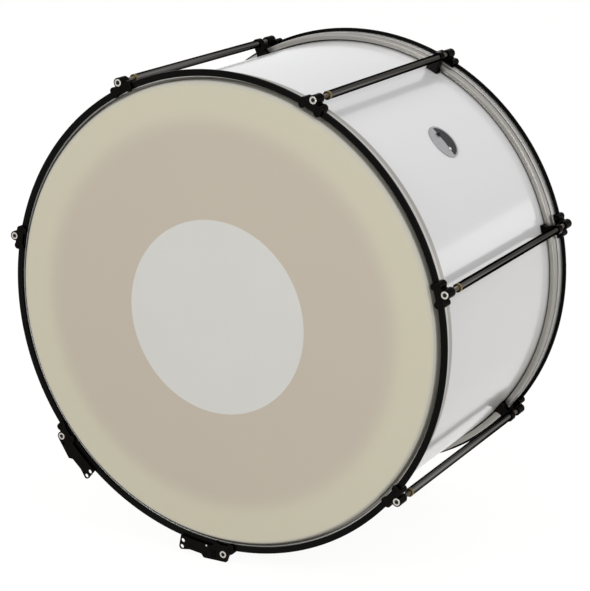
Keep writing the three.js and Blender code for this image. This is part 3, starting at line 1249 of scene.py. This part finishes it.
    def rivet(self) -> bpy.types.Object:
        """Low domed rivet head on the badge.

        Returns:
            The rivet.
        """
        base = self.badge_rise - self.rivet_sink
        outline = np.vstack([dome(self.rivet_radius, base, self.rivet_rise, steps=9), [(0, base)]])
        return self.spoke("badge_rivet", outline, self.vent_depth_offset, self.rivet_arc_offset)


@dataclass
class TensionTube:
    """Every station's tube with its brass insert and its block on the shell."""

    wall: float = 1.0
    lip: float = 0.35
    collar_length: float = 4.0
    countersink: float = 4.2
    countersink_depth: float = 2.0
    insert_arcs: Arcs = (0.6, 0.3, 0.1, 0.3, 0.1, 0.3, 0.2)
    block_foot: float = 18.0
    foot_height: float = 4.0
    foot_slope: Pair = (1.2, 2.6)
    block_top: float = 7.0
    block_neck: float = 6.4
    neck_flare: float = 0.4
    neck_drop: float = 4.0
    thread_length: float = 6.0
    block_grain: float = 0.35
    block_softness: int = 5
    block_crease: float = 40.0
    facets: int = 48

    def build(self) -> None:
        """Makes the three pieces of every station."""
        pattern = self.block()
        for station in LAYOUT.stations:
            front = LAYOUT.station_place(station, Side.FRONT)
            axis = front @ shifted(z=LAYOUT.screw_circle)
            tube = turned(f"tension_tube_{station}", self.tube_outline(), self.facets, axis)
            seat(tube, "shell", GunmetalPlate(), [f"tube_{station}"])
            insert = turned(f"brass_insert_{station}", self.insert_outline(), self.facets, axis)
            seat(insert, "shell", TurnedBrass(), [f"tube_insert_{station}"])
            block = copy_at(f"shell_block_{station}", pattern, LAYOUT.station_place(station, Side.REAR))
            seat(block, "shell", BlackBlock(), [f"tube_block_{station}"], self.block_crease)
        bpy.data.objects.remove(pattern)

    def span(self, node: str) -> Pair:
        """Depths from the front's outer plane at which a node starts and ends."""
        return tuple(corner.y / MM + LAYOUT.half_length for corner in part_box(node))

    def radius_of(self, node: str) -> float:
        """Radius of a round node on the lowest station."""
        low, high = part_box(node)
        return (high.x - low.x) / 2 / MM

    def tube_outline(self) -> np.ndarray:
        """Wall with rounded mouths."""
        return band(self.radius_of("tube_5"), self.wall, *self.span("tube_5"), self.lip)

    def insert_outline(self) -> np.ndarray:
        """Collar with a countersunk mouth, and a spigot in the tube.

        Returns:
            Its outline.
        """
        start, end = self.span("tube_insert_5")
        collar = self.radius_of("tube_insert_5")
        spigot = self.radius_of("tube_5") - self.wall - LAYOUT.clearance
        bore = LAYOUT.screw_bore
        shoulder = start + self.collar_length
        corners = [(collar, start), (collar, shoulder), (spigot, shoulder), (spigot, end), (bore, end),
                   (bore, start + self.countersink_depth), (self.countersink, start)]
        return rounded(corners, self.insert_arcs)

    def block(self) -> bpy.types.Object:
        """Casting with a foot on the shell, a waist and a round top about the tube.

        Returns:
            The block, at the top of a side.
        """
        end, start = (2 * LAYOUT.half_length - depth for depth in self.span("tube_block_5"))
        ahead, after = start - LAYOUT.overrun, end + LAYOUT.overrun
        shell, circle = LAYOUT.ring("shell")[0], LAYOUT.screw_circle
        foot, neck, rise = self.block_foot / 2, self.block_neck, shell + self.foot_height
        fall, climb = self.foot_slope
        side = [(foot, shell - LAYOUT.overrun), (foot, rise - fall), (neck + self.neck_flare, rise + climb),
                (neck, circle - self.neck_drop)]
        angle = np.linspace(0, math.pi, HALF_ROUND_STEPS)[1:-1]
        top = np.stack([self.block_top * np.cos(angle), circle + self.block_top * np.sin(angle)], 1)
        outline = np.vstack([side, top, [(-x, z) for x, z in reversed(side)]])
        body = plate("block body", outline, start, end)
        inner, outer = shell - 3 * LAYOUT.overrun, shell + LAYOUT.clearance
        seat_ring = [(inner, ahead), (outer, ahead), (outer, after), (inner, after)]
        socket = self.radius_of("tube_5") + LAYOUT.clearance
        cutters = [turned("block seat", seat_ring, LAYOUT.ring_facets),
                   peg("block socket", socket, start + self.thread_length, after, (0, circle)),
                   peg("block thread", LAYOUT.screw_bore, ahead, after, (0, circle))]
        return shaped(cast("block pattern", [body], self.block_grain, self.block_softness), cutters)


@dataclass
class Rim:
    """The rings of one side: guard, hoop, head with its patch, and flesh hoop."""

    side: Side
    guard_width: float = 8.6
    guard_arcs: Arcs = (1.2, 0.5, 0.4, 0.8)
    hoop_wall: float = 5.4
    hoop_arcs: Arcs = (0.6, 0.15, 0.1, 0.1, 0.15, 0.6, 0.5, 0.5)
    flesh_wall: float = 7.5
    flesh_arcs: Arcs = (1.6, 2.2, 0.6, 0.4)
    groove: float = 0.45
    groove_width: float = 0.9
    groove_floor: float = 0.6
    film: float = 0.6
    foot_gap: float = 1.1
    head_arcs: Arcs = (0, 2.2, 2.0, 0.6, 0.2, 0.2, 1.2, 1.4, 1.6, 0)
    patch_radius: float = 128.8
    patch_rise: float = 0.22
    patch_arcs: Arcs = (0, 0.12, 0.05, 0)
    patch_facets: int = 256

    def build(self) -> None:
        """Makes the rings and seats them on the side's rim."""
        prefix, body = self.side.value, self.side.rim_body
        for name, outline, finish, node in (
            ("guard_ring", self.guard(), BlackGuard(), "rim_guard"),
            ("hoop_ring", self.hoop(), BareAluminium(), "hoop"),
            ("head_film", self.head(), HeadFilm(), "head"),
            ("flesh_ring", self.flesh_hoop(), MillAluminium(), "flesh_hoop"),
        ):
            ring = turned(f"{prefix}_{name}", outline, LAYOUT.ring_facets, LAYOUT.side_place(self.side))
            seat(ring, body, finish, [f"{prefix}_{node}"])
        seat(self.patch(), body, PatchFilm())

    def ring(self, node: str) -> Place:
        """Outer radius, near depth and far depth of one of the side's rings."""
        return LAYOUT.ring(f"{self.side.value}_{node}")

    def guard(self) -> np.ndarray:
        """Flat ring with a well rounded outer edge."""
        radius, near, far = self.ring("rim_guard")
        return band(radius, self.guard_width, near, far, self.guard_arcs)

    def hoop(self) -> np.ndarray:
        """Flat band with a shallow groove halfway down its outer face.

        Returns:
            Its outline.
        """
        radius, near, far = self.ring("hoop")
        inner, floor = radius - self.hoop_wall, radius - self.groove
        middle, half = (near + far) / 2, self.groove_width / 2
        flat = half * self.groove_floor
        corners = [(radius, near), (radius, middle - half), (floor, middle - flat), (floor, middle + flat),
                   (radius, middle + half), (radius, far), (inner, far), (inner, near)]
        return rounded(corners, self.hoop_arcs)

    def flesh_hoop(self) -> np.ndarray:
        """Channel that holds the head's edge, with rounded corners."""
        radius, near, far = self.ring("flesh_hoop")
        return band(radius, self.flesh_wall, near, far, self.flesh_arcs)

    def head(self) -> np.ndarray:
        """Flat film that bends over the bearing edge, runs down round the shell and out under the hoop.

        Returns:
            Its outline.
        """
        edge, front, back = self.ring("head")
        shell, shell_edge, _ = LAYOUT.ring("shell")
        crease, film, bend = shell - LAYOUT.crest_inset, self.film, self.film / 2
        shoulder, shoulder_depth = shell + LAYOUT.clearance, shell_edge + LAYOUT.bevel
        foot = shell + self.foot_gap
        corners = [(0, front), (crease + bend, front), (shoulder + film, shoulder_depth - bend),
                   (foot + film, back - film), (edge, back - film), (edge, back), (foot, back),
                   (shoulder, shoulder_depth), (crease, front + film), (0, front + film)]
        return rounded(corners, self.head_arcs)

    def patch(self) -> bpy.types.Object:
        """Thin round patch on the film's outer face, a little off the axis.

        Returns:
            The patch.
        """
        radius, back = self.patch_radius, self.ring("head")[1]
        front = back - self.patch_rise
        outline = rounded([(0, front), (radius, front), (radius, back), (0, back)], self.patch_arcs)
        across, up = LAYOUT.patch_centre
        place = LAYOUT.side_place(self.side) @ shifted(across * -self.side.sign, 0, up)
        return turned(f"{self.side.value}_head_patch", outline, self.patch_facets, place)


@dataclass
class Claws:
    """The claws of both sides. Two neighbouring ones reach along the rim as carrier arms."""

    lobe_depth: float = 13.0
    grip: float = 10.8
    lobe_spacing: float = 23.0
    lobe_width: float = 10.0
    lobe_rise: float = 4.0
    bridge_rise: float = 3.0
    boss_radius: float = 6.5
    boss_depth: float = 14.0
    boss_arc: float = 0.8
    head_seat: float = 1.7
    arm_thickness: float = 6.0
    foot_rise: float = 10.5
    foot_length: float = 30.0
    heel: float = 4.5
    heel_slope: float = 5.0
    heel_drop: float = 4.0
    step: float = 3.5
    waist_rise: float = 7.3
    taper: float = 12.0
    hole_reach: float = 63.0
    hole_radius: float = 2.9
    hole_circle: float = 324.0
    outer_circle: float = 333.0
    end_radius: float = 4.5
    tab_thickness: float = 2.2
    tab_length: float = 10.0
    groove_width: float = 1.2
    groove_depth: float = 0.7
    groove_places: tuple[float, ...] = (11.0, 14.0, 17.0)
    groove_span: Pair = (322.0, 333.0)
    dimple_radius: float = 2.7
    dimple_depth: float = 1.1
    dimple_arc: float = 0.6
    spy_hole: Pair = (9.6, 329.6)
    spy_radius: float = 1.6
    pin_place: Pair = (26.0, 319.0)
    pin_radius: float = 1.3
    pin_rise: float = 0.3
    pin_sink: float = 0.8
    pin_facets: int = 24
    grain: float = 0.45
    softness: int = 4
    crease: float = 46.0
    rim_facets: int = 420
    arm_steps: int = 24
    end_steps: int = 9
    face: float = -LAYOUT.proud
    ahead: float = -LAYOUT.proud - LAYOUT.overrun
    hoop: float = field(init=False)
    guard: float = field(init=False)
    guard_depth: float = field(init=False)

    def __post_init__(self) -> None:
        """Reads the rings that the claws grip."""
        self.guard, _, self.guard_depth = LAYOUT.ring("front_rim_guard")
        self.hoop = LAYOUT.ring("front_hoop")[0]

    def build(self) -> None:
        """Makes three patterns and copies them to every station of both sides."""
        low, high = LAYOUT.carrier_stations
        patterns = {None: self.pattern("plain claw"), low: self.pattern("low arm", True, True),
                    high: self.pattern("high arm", True, False)}
        for side in Side:
            for station in LAYOUT.stations:
                kind = station if station in LAYOUT.carrier_stations else None
                mirrored = kind is not None and (station == high) != (side is Side.REAR)
                claw = copy_at(f"{side.value}_claw_casting_{station}", patterns[kind],
                               LAYOUT.station_place(station, side), mirrored)
                seat(claw, side.rim_body, BlackCasting(), [LAYOUT.claw_node(side, station)], self.crease)
        for pattern in patterns.values():
            bpy.data.objects.remove(pattern)
        self.pins()

    def pins(self) -> None:
        """Small domed pin in the face of each lowest carrier arm."""
        back = self.face + self.pin_sink
        outline = np.vstack([dome(self.pin_radius, self.face, -self.pin_rise, steps=7),
                             [(self.pin_radius, back), (0, back)]])
        arc, circle = self.pin_place
        for side in Side:
            across, up = self.on_rim(arc * -side.sign, circle)
            place = LAYOUT.station_place(LAYOUT.carrier_stations[0], side) @ shifted(across, 0, up)
            pin = turned(f"{side.value}_arm_pin", outline, self.pin_facets, place)
            seat(pin, side.rim_body, ZincPlate())

    def pattern(self, name: str, arm: bool = False, heel: bool = False) -> bpy.types.Object:
        """One claw at the top of the drum.

        Args:
            name: name of the pattern.
            arm: whether it has a carrier arm.
            heel: whether the arm is deep enough to stand on.

        Returns:
            The claw's casting.
        """
        half = self.lobe_spacing / 2
        parts = [self.lobe(-half), self.lobe(half), self.bridge(), self.boss()]
        if arm:
            parts.append(self.arm(heel))
        body = cast(name, parts, self.grain, self.softness)
        cutters = [self.rim_space(), *self.screw_space(), *self.dimples()]
        if arm:
            cutters += [self.arm_hole(self.hole_radius, self.hole_reach, self.hole_circle),
                        self.arm_hole(self.hole_radius, self.hole_reach, self.outer_circle), self.tab_space()]
        if heel:
            cutters += [self.groove(arc) for arc in self.groove_places]
        elif arm:
            cutters.append(self.arm_hole(self.spy_radius, *self.spy_hole))
        return shaped(body, cutters)

    def dimples(self) -> list[bpy.types.Object]:
        """Round recesses in both ends of each lobe.

        Returns:
            What is cut away.
        """
        low, high = self.lobe_ends()
        front, back = self.face + self.dimple_depth, self.lobe_depth - self.dimple_depth
        behind, size, arc = self.lobe_depth + LAYOUT.overrun, self.dimple_radius, self.dimple_arc
        made = []
        for offset in (-self.lobe_spacing / 2, self.lobe_spacing / 2):
            made += [peg("front dimple", size, self.ahead, front, (offset, low), arc),
                     peg("back dimple", size, back, behind, (offset, high), arc)]
        return made

    def lobe_ends(self) -> Pair:
        """Radii of the centres of a lobe's two half-round ends."""
        half = self.lobe_width / 2
        return self.guard - self.grip + half, self.guard + self.lobe_rise - half

    def sector(self, name: str, arcs: Pair, radii: Pair, depths: Pair) -> bpy.types.Object:
        """Four-sided block between two arcs, two radii and two depths.

        Args:
            name: name of the block.
            arcs: its two distances along the screw circle.
            radii: its two radii.
            depths: its near and far depth.

        Returns:
            The block.
        """
        (left, right), (low, high) = arcs, radii
        corners = [(left, low), (right, low), (right, high), (left, high)]
        return plate(name, np.array([self.on_rim(*corner) for corner in corners]), *depths)

    def tab_space(self) -> bpy.types.Object:
        """What is cut from the arm's back, so that its end is thin.

        Returns:
            The block that is cut away.
        """
        arcs = (self.hole_reach - self.tab_length, self.hole_reach + self.end_radius + LAYOUT.overrun)
        radii = (self.hoop, LAYOUT.screw_circle + self.foot_rise + LAYOUT.overrun)
        depths = (self.face + self.tab_thickness, self.arm_thickness + LAYOUT.overrun)
        return self.sector("tab space", arcs, radii, depths)

    def groove(self, arc: float) -> bpy.types.Object:
        """Shallow groove across the arm's face.

        Args:
            arc: its middle, as a distance along the screw circle.

        Returns:
            What is cut away.
        """
        half = self.groove_width / 2
        depths = (self.ahead, self.face + self.groove_depth)
        return self.sector("groove", (arc - half, arc + half), self.groove_span, depths)

    def lobe(self, offset: float) -> bpy.types.Object:
        """Bar with half-round ends that grips the guard and reaches over the hoop.

        Args:
            offset: distance of its middle from the claw's.

        Returns:
            The bar.
        """
        half, (low, high) = self.lobe_width / 2, self.lobe_ends()
        angle = np.linspace(0, math.pi, HALF_ROUND_STEPS)
        over = np.stack([offset + half * np.cos(angle), high + half * np.sin(angle)], 1)
        under = np.stack([offset - half * np.cos(angle), low - half * np.sin(angle)], 1)
        return plate("lobe", np.vstack([over, under]), self.face, self.lobe_depth)

    def bridge(self) -> bpy.types.Object:
        """Web between the lobes, from under the hoop's face to over the guard.

        Returns:
            The web.
        """
        half, low, high = self.lobe_spacing / 2, self.hoop - LAYOUT.overrun, self.guard + self.bridge_rise
        outline = np.array([(-half, low), (half, low), (half, high), (-half, high)])
        return plate("bridge", outline, self.face, self.lobe_depth)

    def boss(self) -> bpy.types.Object:
        """Round boss about the screw."""
        return peg("boss", self.boss_radius, self.face, self.boss_depth, (0, LAYOUT.screw_circle),
                   self.boss_arc)

    def on_rim(self, arc: float, radius: float) -> Pair:
        """Point by its distance along the screw circle and by its radius."""
        angle = arc / LAYOUT.screw_circle
        return radius * math.sin(angle), radius * math.cos(angle)

    def arm(self, heel: bool) -> bpy.types.Object:
        """Flat arm that follows the rim, steps in after its foot and ends round its outer hole.

        Args:
            heel: whether the foot runs on past the screw, rather than ending at the boss.

        Returns:
            The arm.
        """
        circle, reach = LAYOUT.screw_circle, self.hole_reach
        foot, waist = circle + self.foot_rise, circle + self.waist_rise
        run = np.linspace(0, reach + self.end_radius, self.arm_steps) / circle
        along = (self.guard - LAYOUT.overrun) * np.stack([np.sin(run), np.cos(run)], 1)
        angle = np.linspace(0, math.pi / 2, self.end_steps) - reach / circle
        round_end = self.end_radius * np.stack([np.cos(angle), np.sin(angle)], 1)
        end = self.on_rim(reach, self.outer_circle) + round_end
        outer = [self.on_rim(reach - self.taper, waist), self.on_rim(self.foot_length + self.step, waist),
                 (self.foot_length, foot)]
        if heel:
            outer += [(-self.heel, foot), (-self.heel - self.heel_slope, circle - self.heel_drop)]
        else:
            outer += [(0, circle + self.boss_radius)]
        return plate("arm", np.vstack([along, end, outer]), self.face, self.face + self.arm_thickness)

    def rim_space(self) -> bpy.types.Object:
        """What guard and hoop take up under the claw, with the clearance round them.

        Returns:
            What is cut away.
        """
        gap, back = LAYOUT.clearance, self.lobe_depth + self.boss_depth
        guard, hoop, step = self.guard + gap, self.hoop + gap, self.guard_depth + gap
        inner = self.hoop - 4 * LAYOUT.overrun
        corners = [(guard, -gap), (guard, step), (hoop, step), (hoop, back), (inner, back), (inner, -gap)]
        return turned("rim space", corners, self.rim_facets)

    def screw_space(self) -> list[bpy.types.Object]:
        """Pocket for the screw's head and bore for its shank.

        Returns:
            The two that are cut away.
        """
        at, pocket = (0, LAYOUT.screw_circle), LAYOUT.screw_head + 2 * LAYOUT.clearance
        return [peg("pocket", pocket, self.ahead, self.head_seat + LAYOUT.clearance, at),
                peg("bore", LAYOUT.screw_bore, self.ahead, self.boss_depth + LAYOUT.overrun, at)]

    def arm_hole(self, radius: float, arc: float, circle: float) -> bpy.types.Object:
        """Round hole through the arm."""
        back = self.arm_thickness + LAYOUT.overrun
        return peg("arm hole", radius, self.ahead, back, self.on_rim(arc, circle))


@dataclass
class Screws:
    """The tension screws: socket heads and threaded shanks."""

    head_height: float = 6.0
    socket_width: float = 5.0
    socket_depth: float = 3.0
    socket_cone: float = 0.8
    socket_bottom: float = 0.9
    socket_mouth: float = 0.3
    head_edge: float = 0.7
    head_corner: float = 0.2
    length: float = 50.0
    crest: float = 3.0
    root: float = 2.45
    pitch: float = 1.0
    crest_flatness: float = 1.6
    plain: float = 12.0
    thread_margins: Pair = (0.5, 1.0)
    tip: float = 0.6
    tip_taper: Pair = (0.95, 0.7)
    crease: float = 40.0
    facets: int = 24
    rows_per_pitch: int = 6

    def build(self) -> None:
        """Makes one screw and copies it to every station of both sides."""
        pattern = lattice("screw pattern", self.surface())
        self.mark(pattern.data)
        for side in Side:
            for station in LAYOUT.stations:
                name = f"{side.value}_screw_{station}"
                screw = copy_at(f"{side.value}_tension_screw_{station}", pattern,
                                LAYOUT.station_place(station, side))
                seat(screw, name, ZincScrew(), [name], self.crease)
        bpy.data.objects.remove(pattern)

    def mark(self, mesh: bpy.types.Mesh) -> None:
        """Keeps each point's distance from the screw's axis and its depth, both in millimetres.

        Args:
            mesh: the screw's mesh, at the top of a side.
        """
        flat = np.empty(3 * len(mesh.vertices))
        mesh.vertices.foreach_get("co", flat)
        x, depth, z = flat.reshape(-1, 3).T / MM
        for name, values in (("reach", np.hypot(x, z - LAYOUT.screw_circle)), ("depth", depth)):
            mesh.attributes.new(name, "FLOAT", "POINT").data.foreach_set("value", values.astype(np.float32))

    def surface(self) -> np.ndarray:
        """Grid of the screw's skin, from the socket's floor over the head to the shank's end.

        A row is a radius at each angle and one depth. The socket's radius is half its width over
        cos(angle to the nearest flat), and the thread's is a rounded ramp of depth / pitch minus
        angle / turn, so its crest climbs clockwise as it goes in.

        Returns:
            Array of rows by angles by three coordinates.
        """
        angle = np.linspace(0, TURN, self.facets, endpoint=False)
        sixth = TURN / 6
        hexagon = self.socket_width / 2 / np.cos(np.mod(angle, sixth) - sixth / 2)
        even = np.ones_like(angle)
        wide, crest, root = LAYOUT.screw_head * even, self.crest * even, self.root * even
        top = -LAYOUT.proud
        under, floor = top + self.head_height, top + self.socket_depth
        start, end = under + self.plain, under + self.length
        mouth, edge, corner = self.socket_mouth, self.head_edge, self.head_corner
        head = [(0 * even, floor + self.socket_cone), (hexagon * self.socket_bottom, floor),
                (hexagon, floor), (hexagon, top + mouth), (hexagon + mouth, top), (wide - edge, top),
                (wide - corner, top + corner), (wide, top + edge), (wide, under), (crest, under),
                (crest, start)]
        taper, margins = self.tip_taper, self.thread_margins
        tip = [(root * taper[0], end - self.tip), (root * taper[1], end), (0 * even, end)]
        depth = np.arange(start + margins[0], end - margins[1], self.pitch / self.rows_per_pitch)
        phase = np.mod(depth[:, None] / self.pitch - angle[None, :] / TURN, 1.0)
        wave = 0.5 + 0.5 * np.clip(self.crest_flatness * np.cos(TURN * phase), -1, 1)
        thread = root + (crest - root) * wave
        radius = np.vstack([row for row, _ in head] + [thread] + [row for row, _ in tip])
        along = np.concatenate([[d for _, d in head], depth, [d for _, d in tip]])[:, None]
        upward = radius * np.cos(angle) + LAYOUT.screw_circle
        return np.stack([radius * np.sin(angle), along + 0 * angle, upward], -1)


# Studio


@dataclass(frozen=True)
class Lamp:
    """Square soft lamp aimed at the drum's middle. Its place and side are in metres, its power in watts."""

    name: str
    place: Place
    side: float
    power: float
    mirrored: bool = True

    def hang(self) -> None:
        """Sets up the lamp, which the camera never sees and which gloss shows only where it is mirrored."""
        data = bpy.data.lights.new(self.name, "AREA")
        data.shape, data.size, data.energy = "SQUARE", self.side, self.power
        made = linked(self.name, data)
        made.location = self.place
        aim = Vector((0, 0, LAYOUT.axis_height * MM)) - Vector(self.place)
        made.rotation_euler = aim.to_track_quat("-Z", "Y").to_euler()
        made.visible_camera = False
        made.visible_glossy = self.mirrored


@dataclass
class Studio:
    """Floor, light and camera. Angles are in degrees and lengths in millimetres."""

    azimuth: float = 29.635
    elevation: float = 15.396
    roll: float = -0.741
    distance: float = 2426.3
    target: Place = (95.4, -194.0, 413.05)
    focal_share: float = 3.30194
    shift: Pair = (0.01958, -0.0449)
    sensor: float = 36.0
    view_end: float = 100.0
    ambient: float = 0.66
    floor_colour: Colour = colour(198, 195, 188)
    floor_roughness: float = 0.9
    floor_mirror: float = 0.1
    floor_share: float = 0.8
    floor_glow: float = 1.16
    floor_half: float = 6000.0
    lamps: tuple[Lamp, ...] = (
        Lamp("key", (-0.6, -3.4, 2.5), 0.9, 29.0),
        Lamp("low", (0.7, -3.2, 0.3), 0.6, 17.0),
        Lamp("side", (2.9, -0.9, 2.5), 0.8, 20.0),
        Lamp("strip", (1.95, 3.0, 0.35), 0.8, 2.4),
        Lamp("back", (-0.4, 3.4, 2.2), 0.9, 9.0, mirrored=False),
    )

    def build(self) -> None:
        """Sets up everything that isn't the drum."""
        self.world()
        self.floor()
        for lamp in self.lamps:
            lamp.hang()
        self.camera()
        bpy.context.scene.view_settings.view_transform = "Standard"

    def world(self) -> None:
        """White where it is seen, directly or in gloss, and a plain level of light otherwise."""
        world = bpy.data.worlds.new("studio")
        bpy.context.scene.world = world
        tree = Tree(world)
        level = tree.node("ShaderNodeMapRange", {}, {0: tree.seen(), 3: self.ambient, 4: 1.0})
        sky = tree.node("ShaderNodeBackground", {}, {0: WHITE, 1: level.outputs[0]})
        tree.node("ShaderNodeOutputWorld", {}, {0: sky.outputs[0]})

    def floor(self) -> None:
        """Pale floor under the drum that keeps its shadow, and is white to the camera elsewhere."""
        half = self.floor_half
        corners = np.array([(-half, -half, 0), (half, -half, 0), (half, half, 0), (-half, half, 0)])
        made = new_object("studio_floor", corners, [[0, 1, 2, 3]])
        shader = Shader("studio_floor")
        shader.set(Base_Color=self.floor_colour, Roughness=self.floor_roughness,
                   Specular_IOR_Level=self.floor_mirror)
        glow = shader.node("ShaderNodeEmission", {}, {"Color": WHITE, "Strength": self.floor_glow})
        both = shader.node("ShaderNodeMixShader", {}, {0: shader.seen() * self.floor_share,
                                                       1: shader.surface.outputs[0], 2: glow.outputs[0]})
        shader.feed(shader.output.inputs["Surface"], both.outputs[0])
        made.data.materials.append(shader.material)

    def camera(self) -> None:
        """Camera at the photograph's angle: it stands back from its target and looks at it.

        Its turn is the roll about its own line of sight, then a tilt of a right angle less the
        elevation, then the azimuth about the upright.
        """
        turn = (Matrix.Rotation(math.radians(self.azimuth), 4, "Z")
                @ Matrix.Rotation(math.radians(90 - self.elevation), 4, "X")
                @ Matrix.Rotation(math.radians(self.roll), 4, "Z"))
        data = bpy.data.cameras.new("camera")
        data.sensor_fit, data.sensor_width = "HORIZONTAL", self.sensor
        data.lens = self.focal_share * self.sensor
        data.shift_x, data.shift_y = self.shift
        data.clip_end = self.view_end
        made = linked("camera", data)
        place = Vector(self.target) + turn.col[2].to_3d() * self.distance
        made.matrix_world = Matrix.Translation(place * MM) @ turn
        bpy.context.scene.camera = made


def clear_start() -> None:
    """Removes the start-up cube, lamp and camera."""
    for name in ("Cube", "Light", "Camera"):
        stray = bpy.data.objects.get(name)
        if stray is not None:
            bpy.data.objects.remove(stray)


def main() -> None:
    """Builds the studio and the drum, in order."""
    logging.basicConfig(level=logging.INFO, format="%(message)s")
    clear_start()
    Studio().build()
    Shell().build()
    TensionTube().build()
    for side in Side:
        Rim(side).build()
    Claws().build()
    Screws().build()


if __name__ == "__main__":
    main()
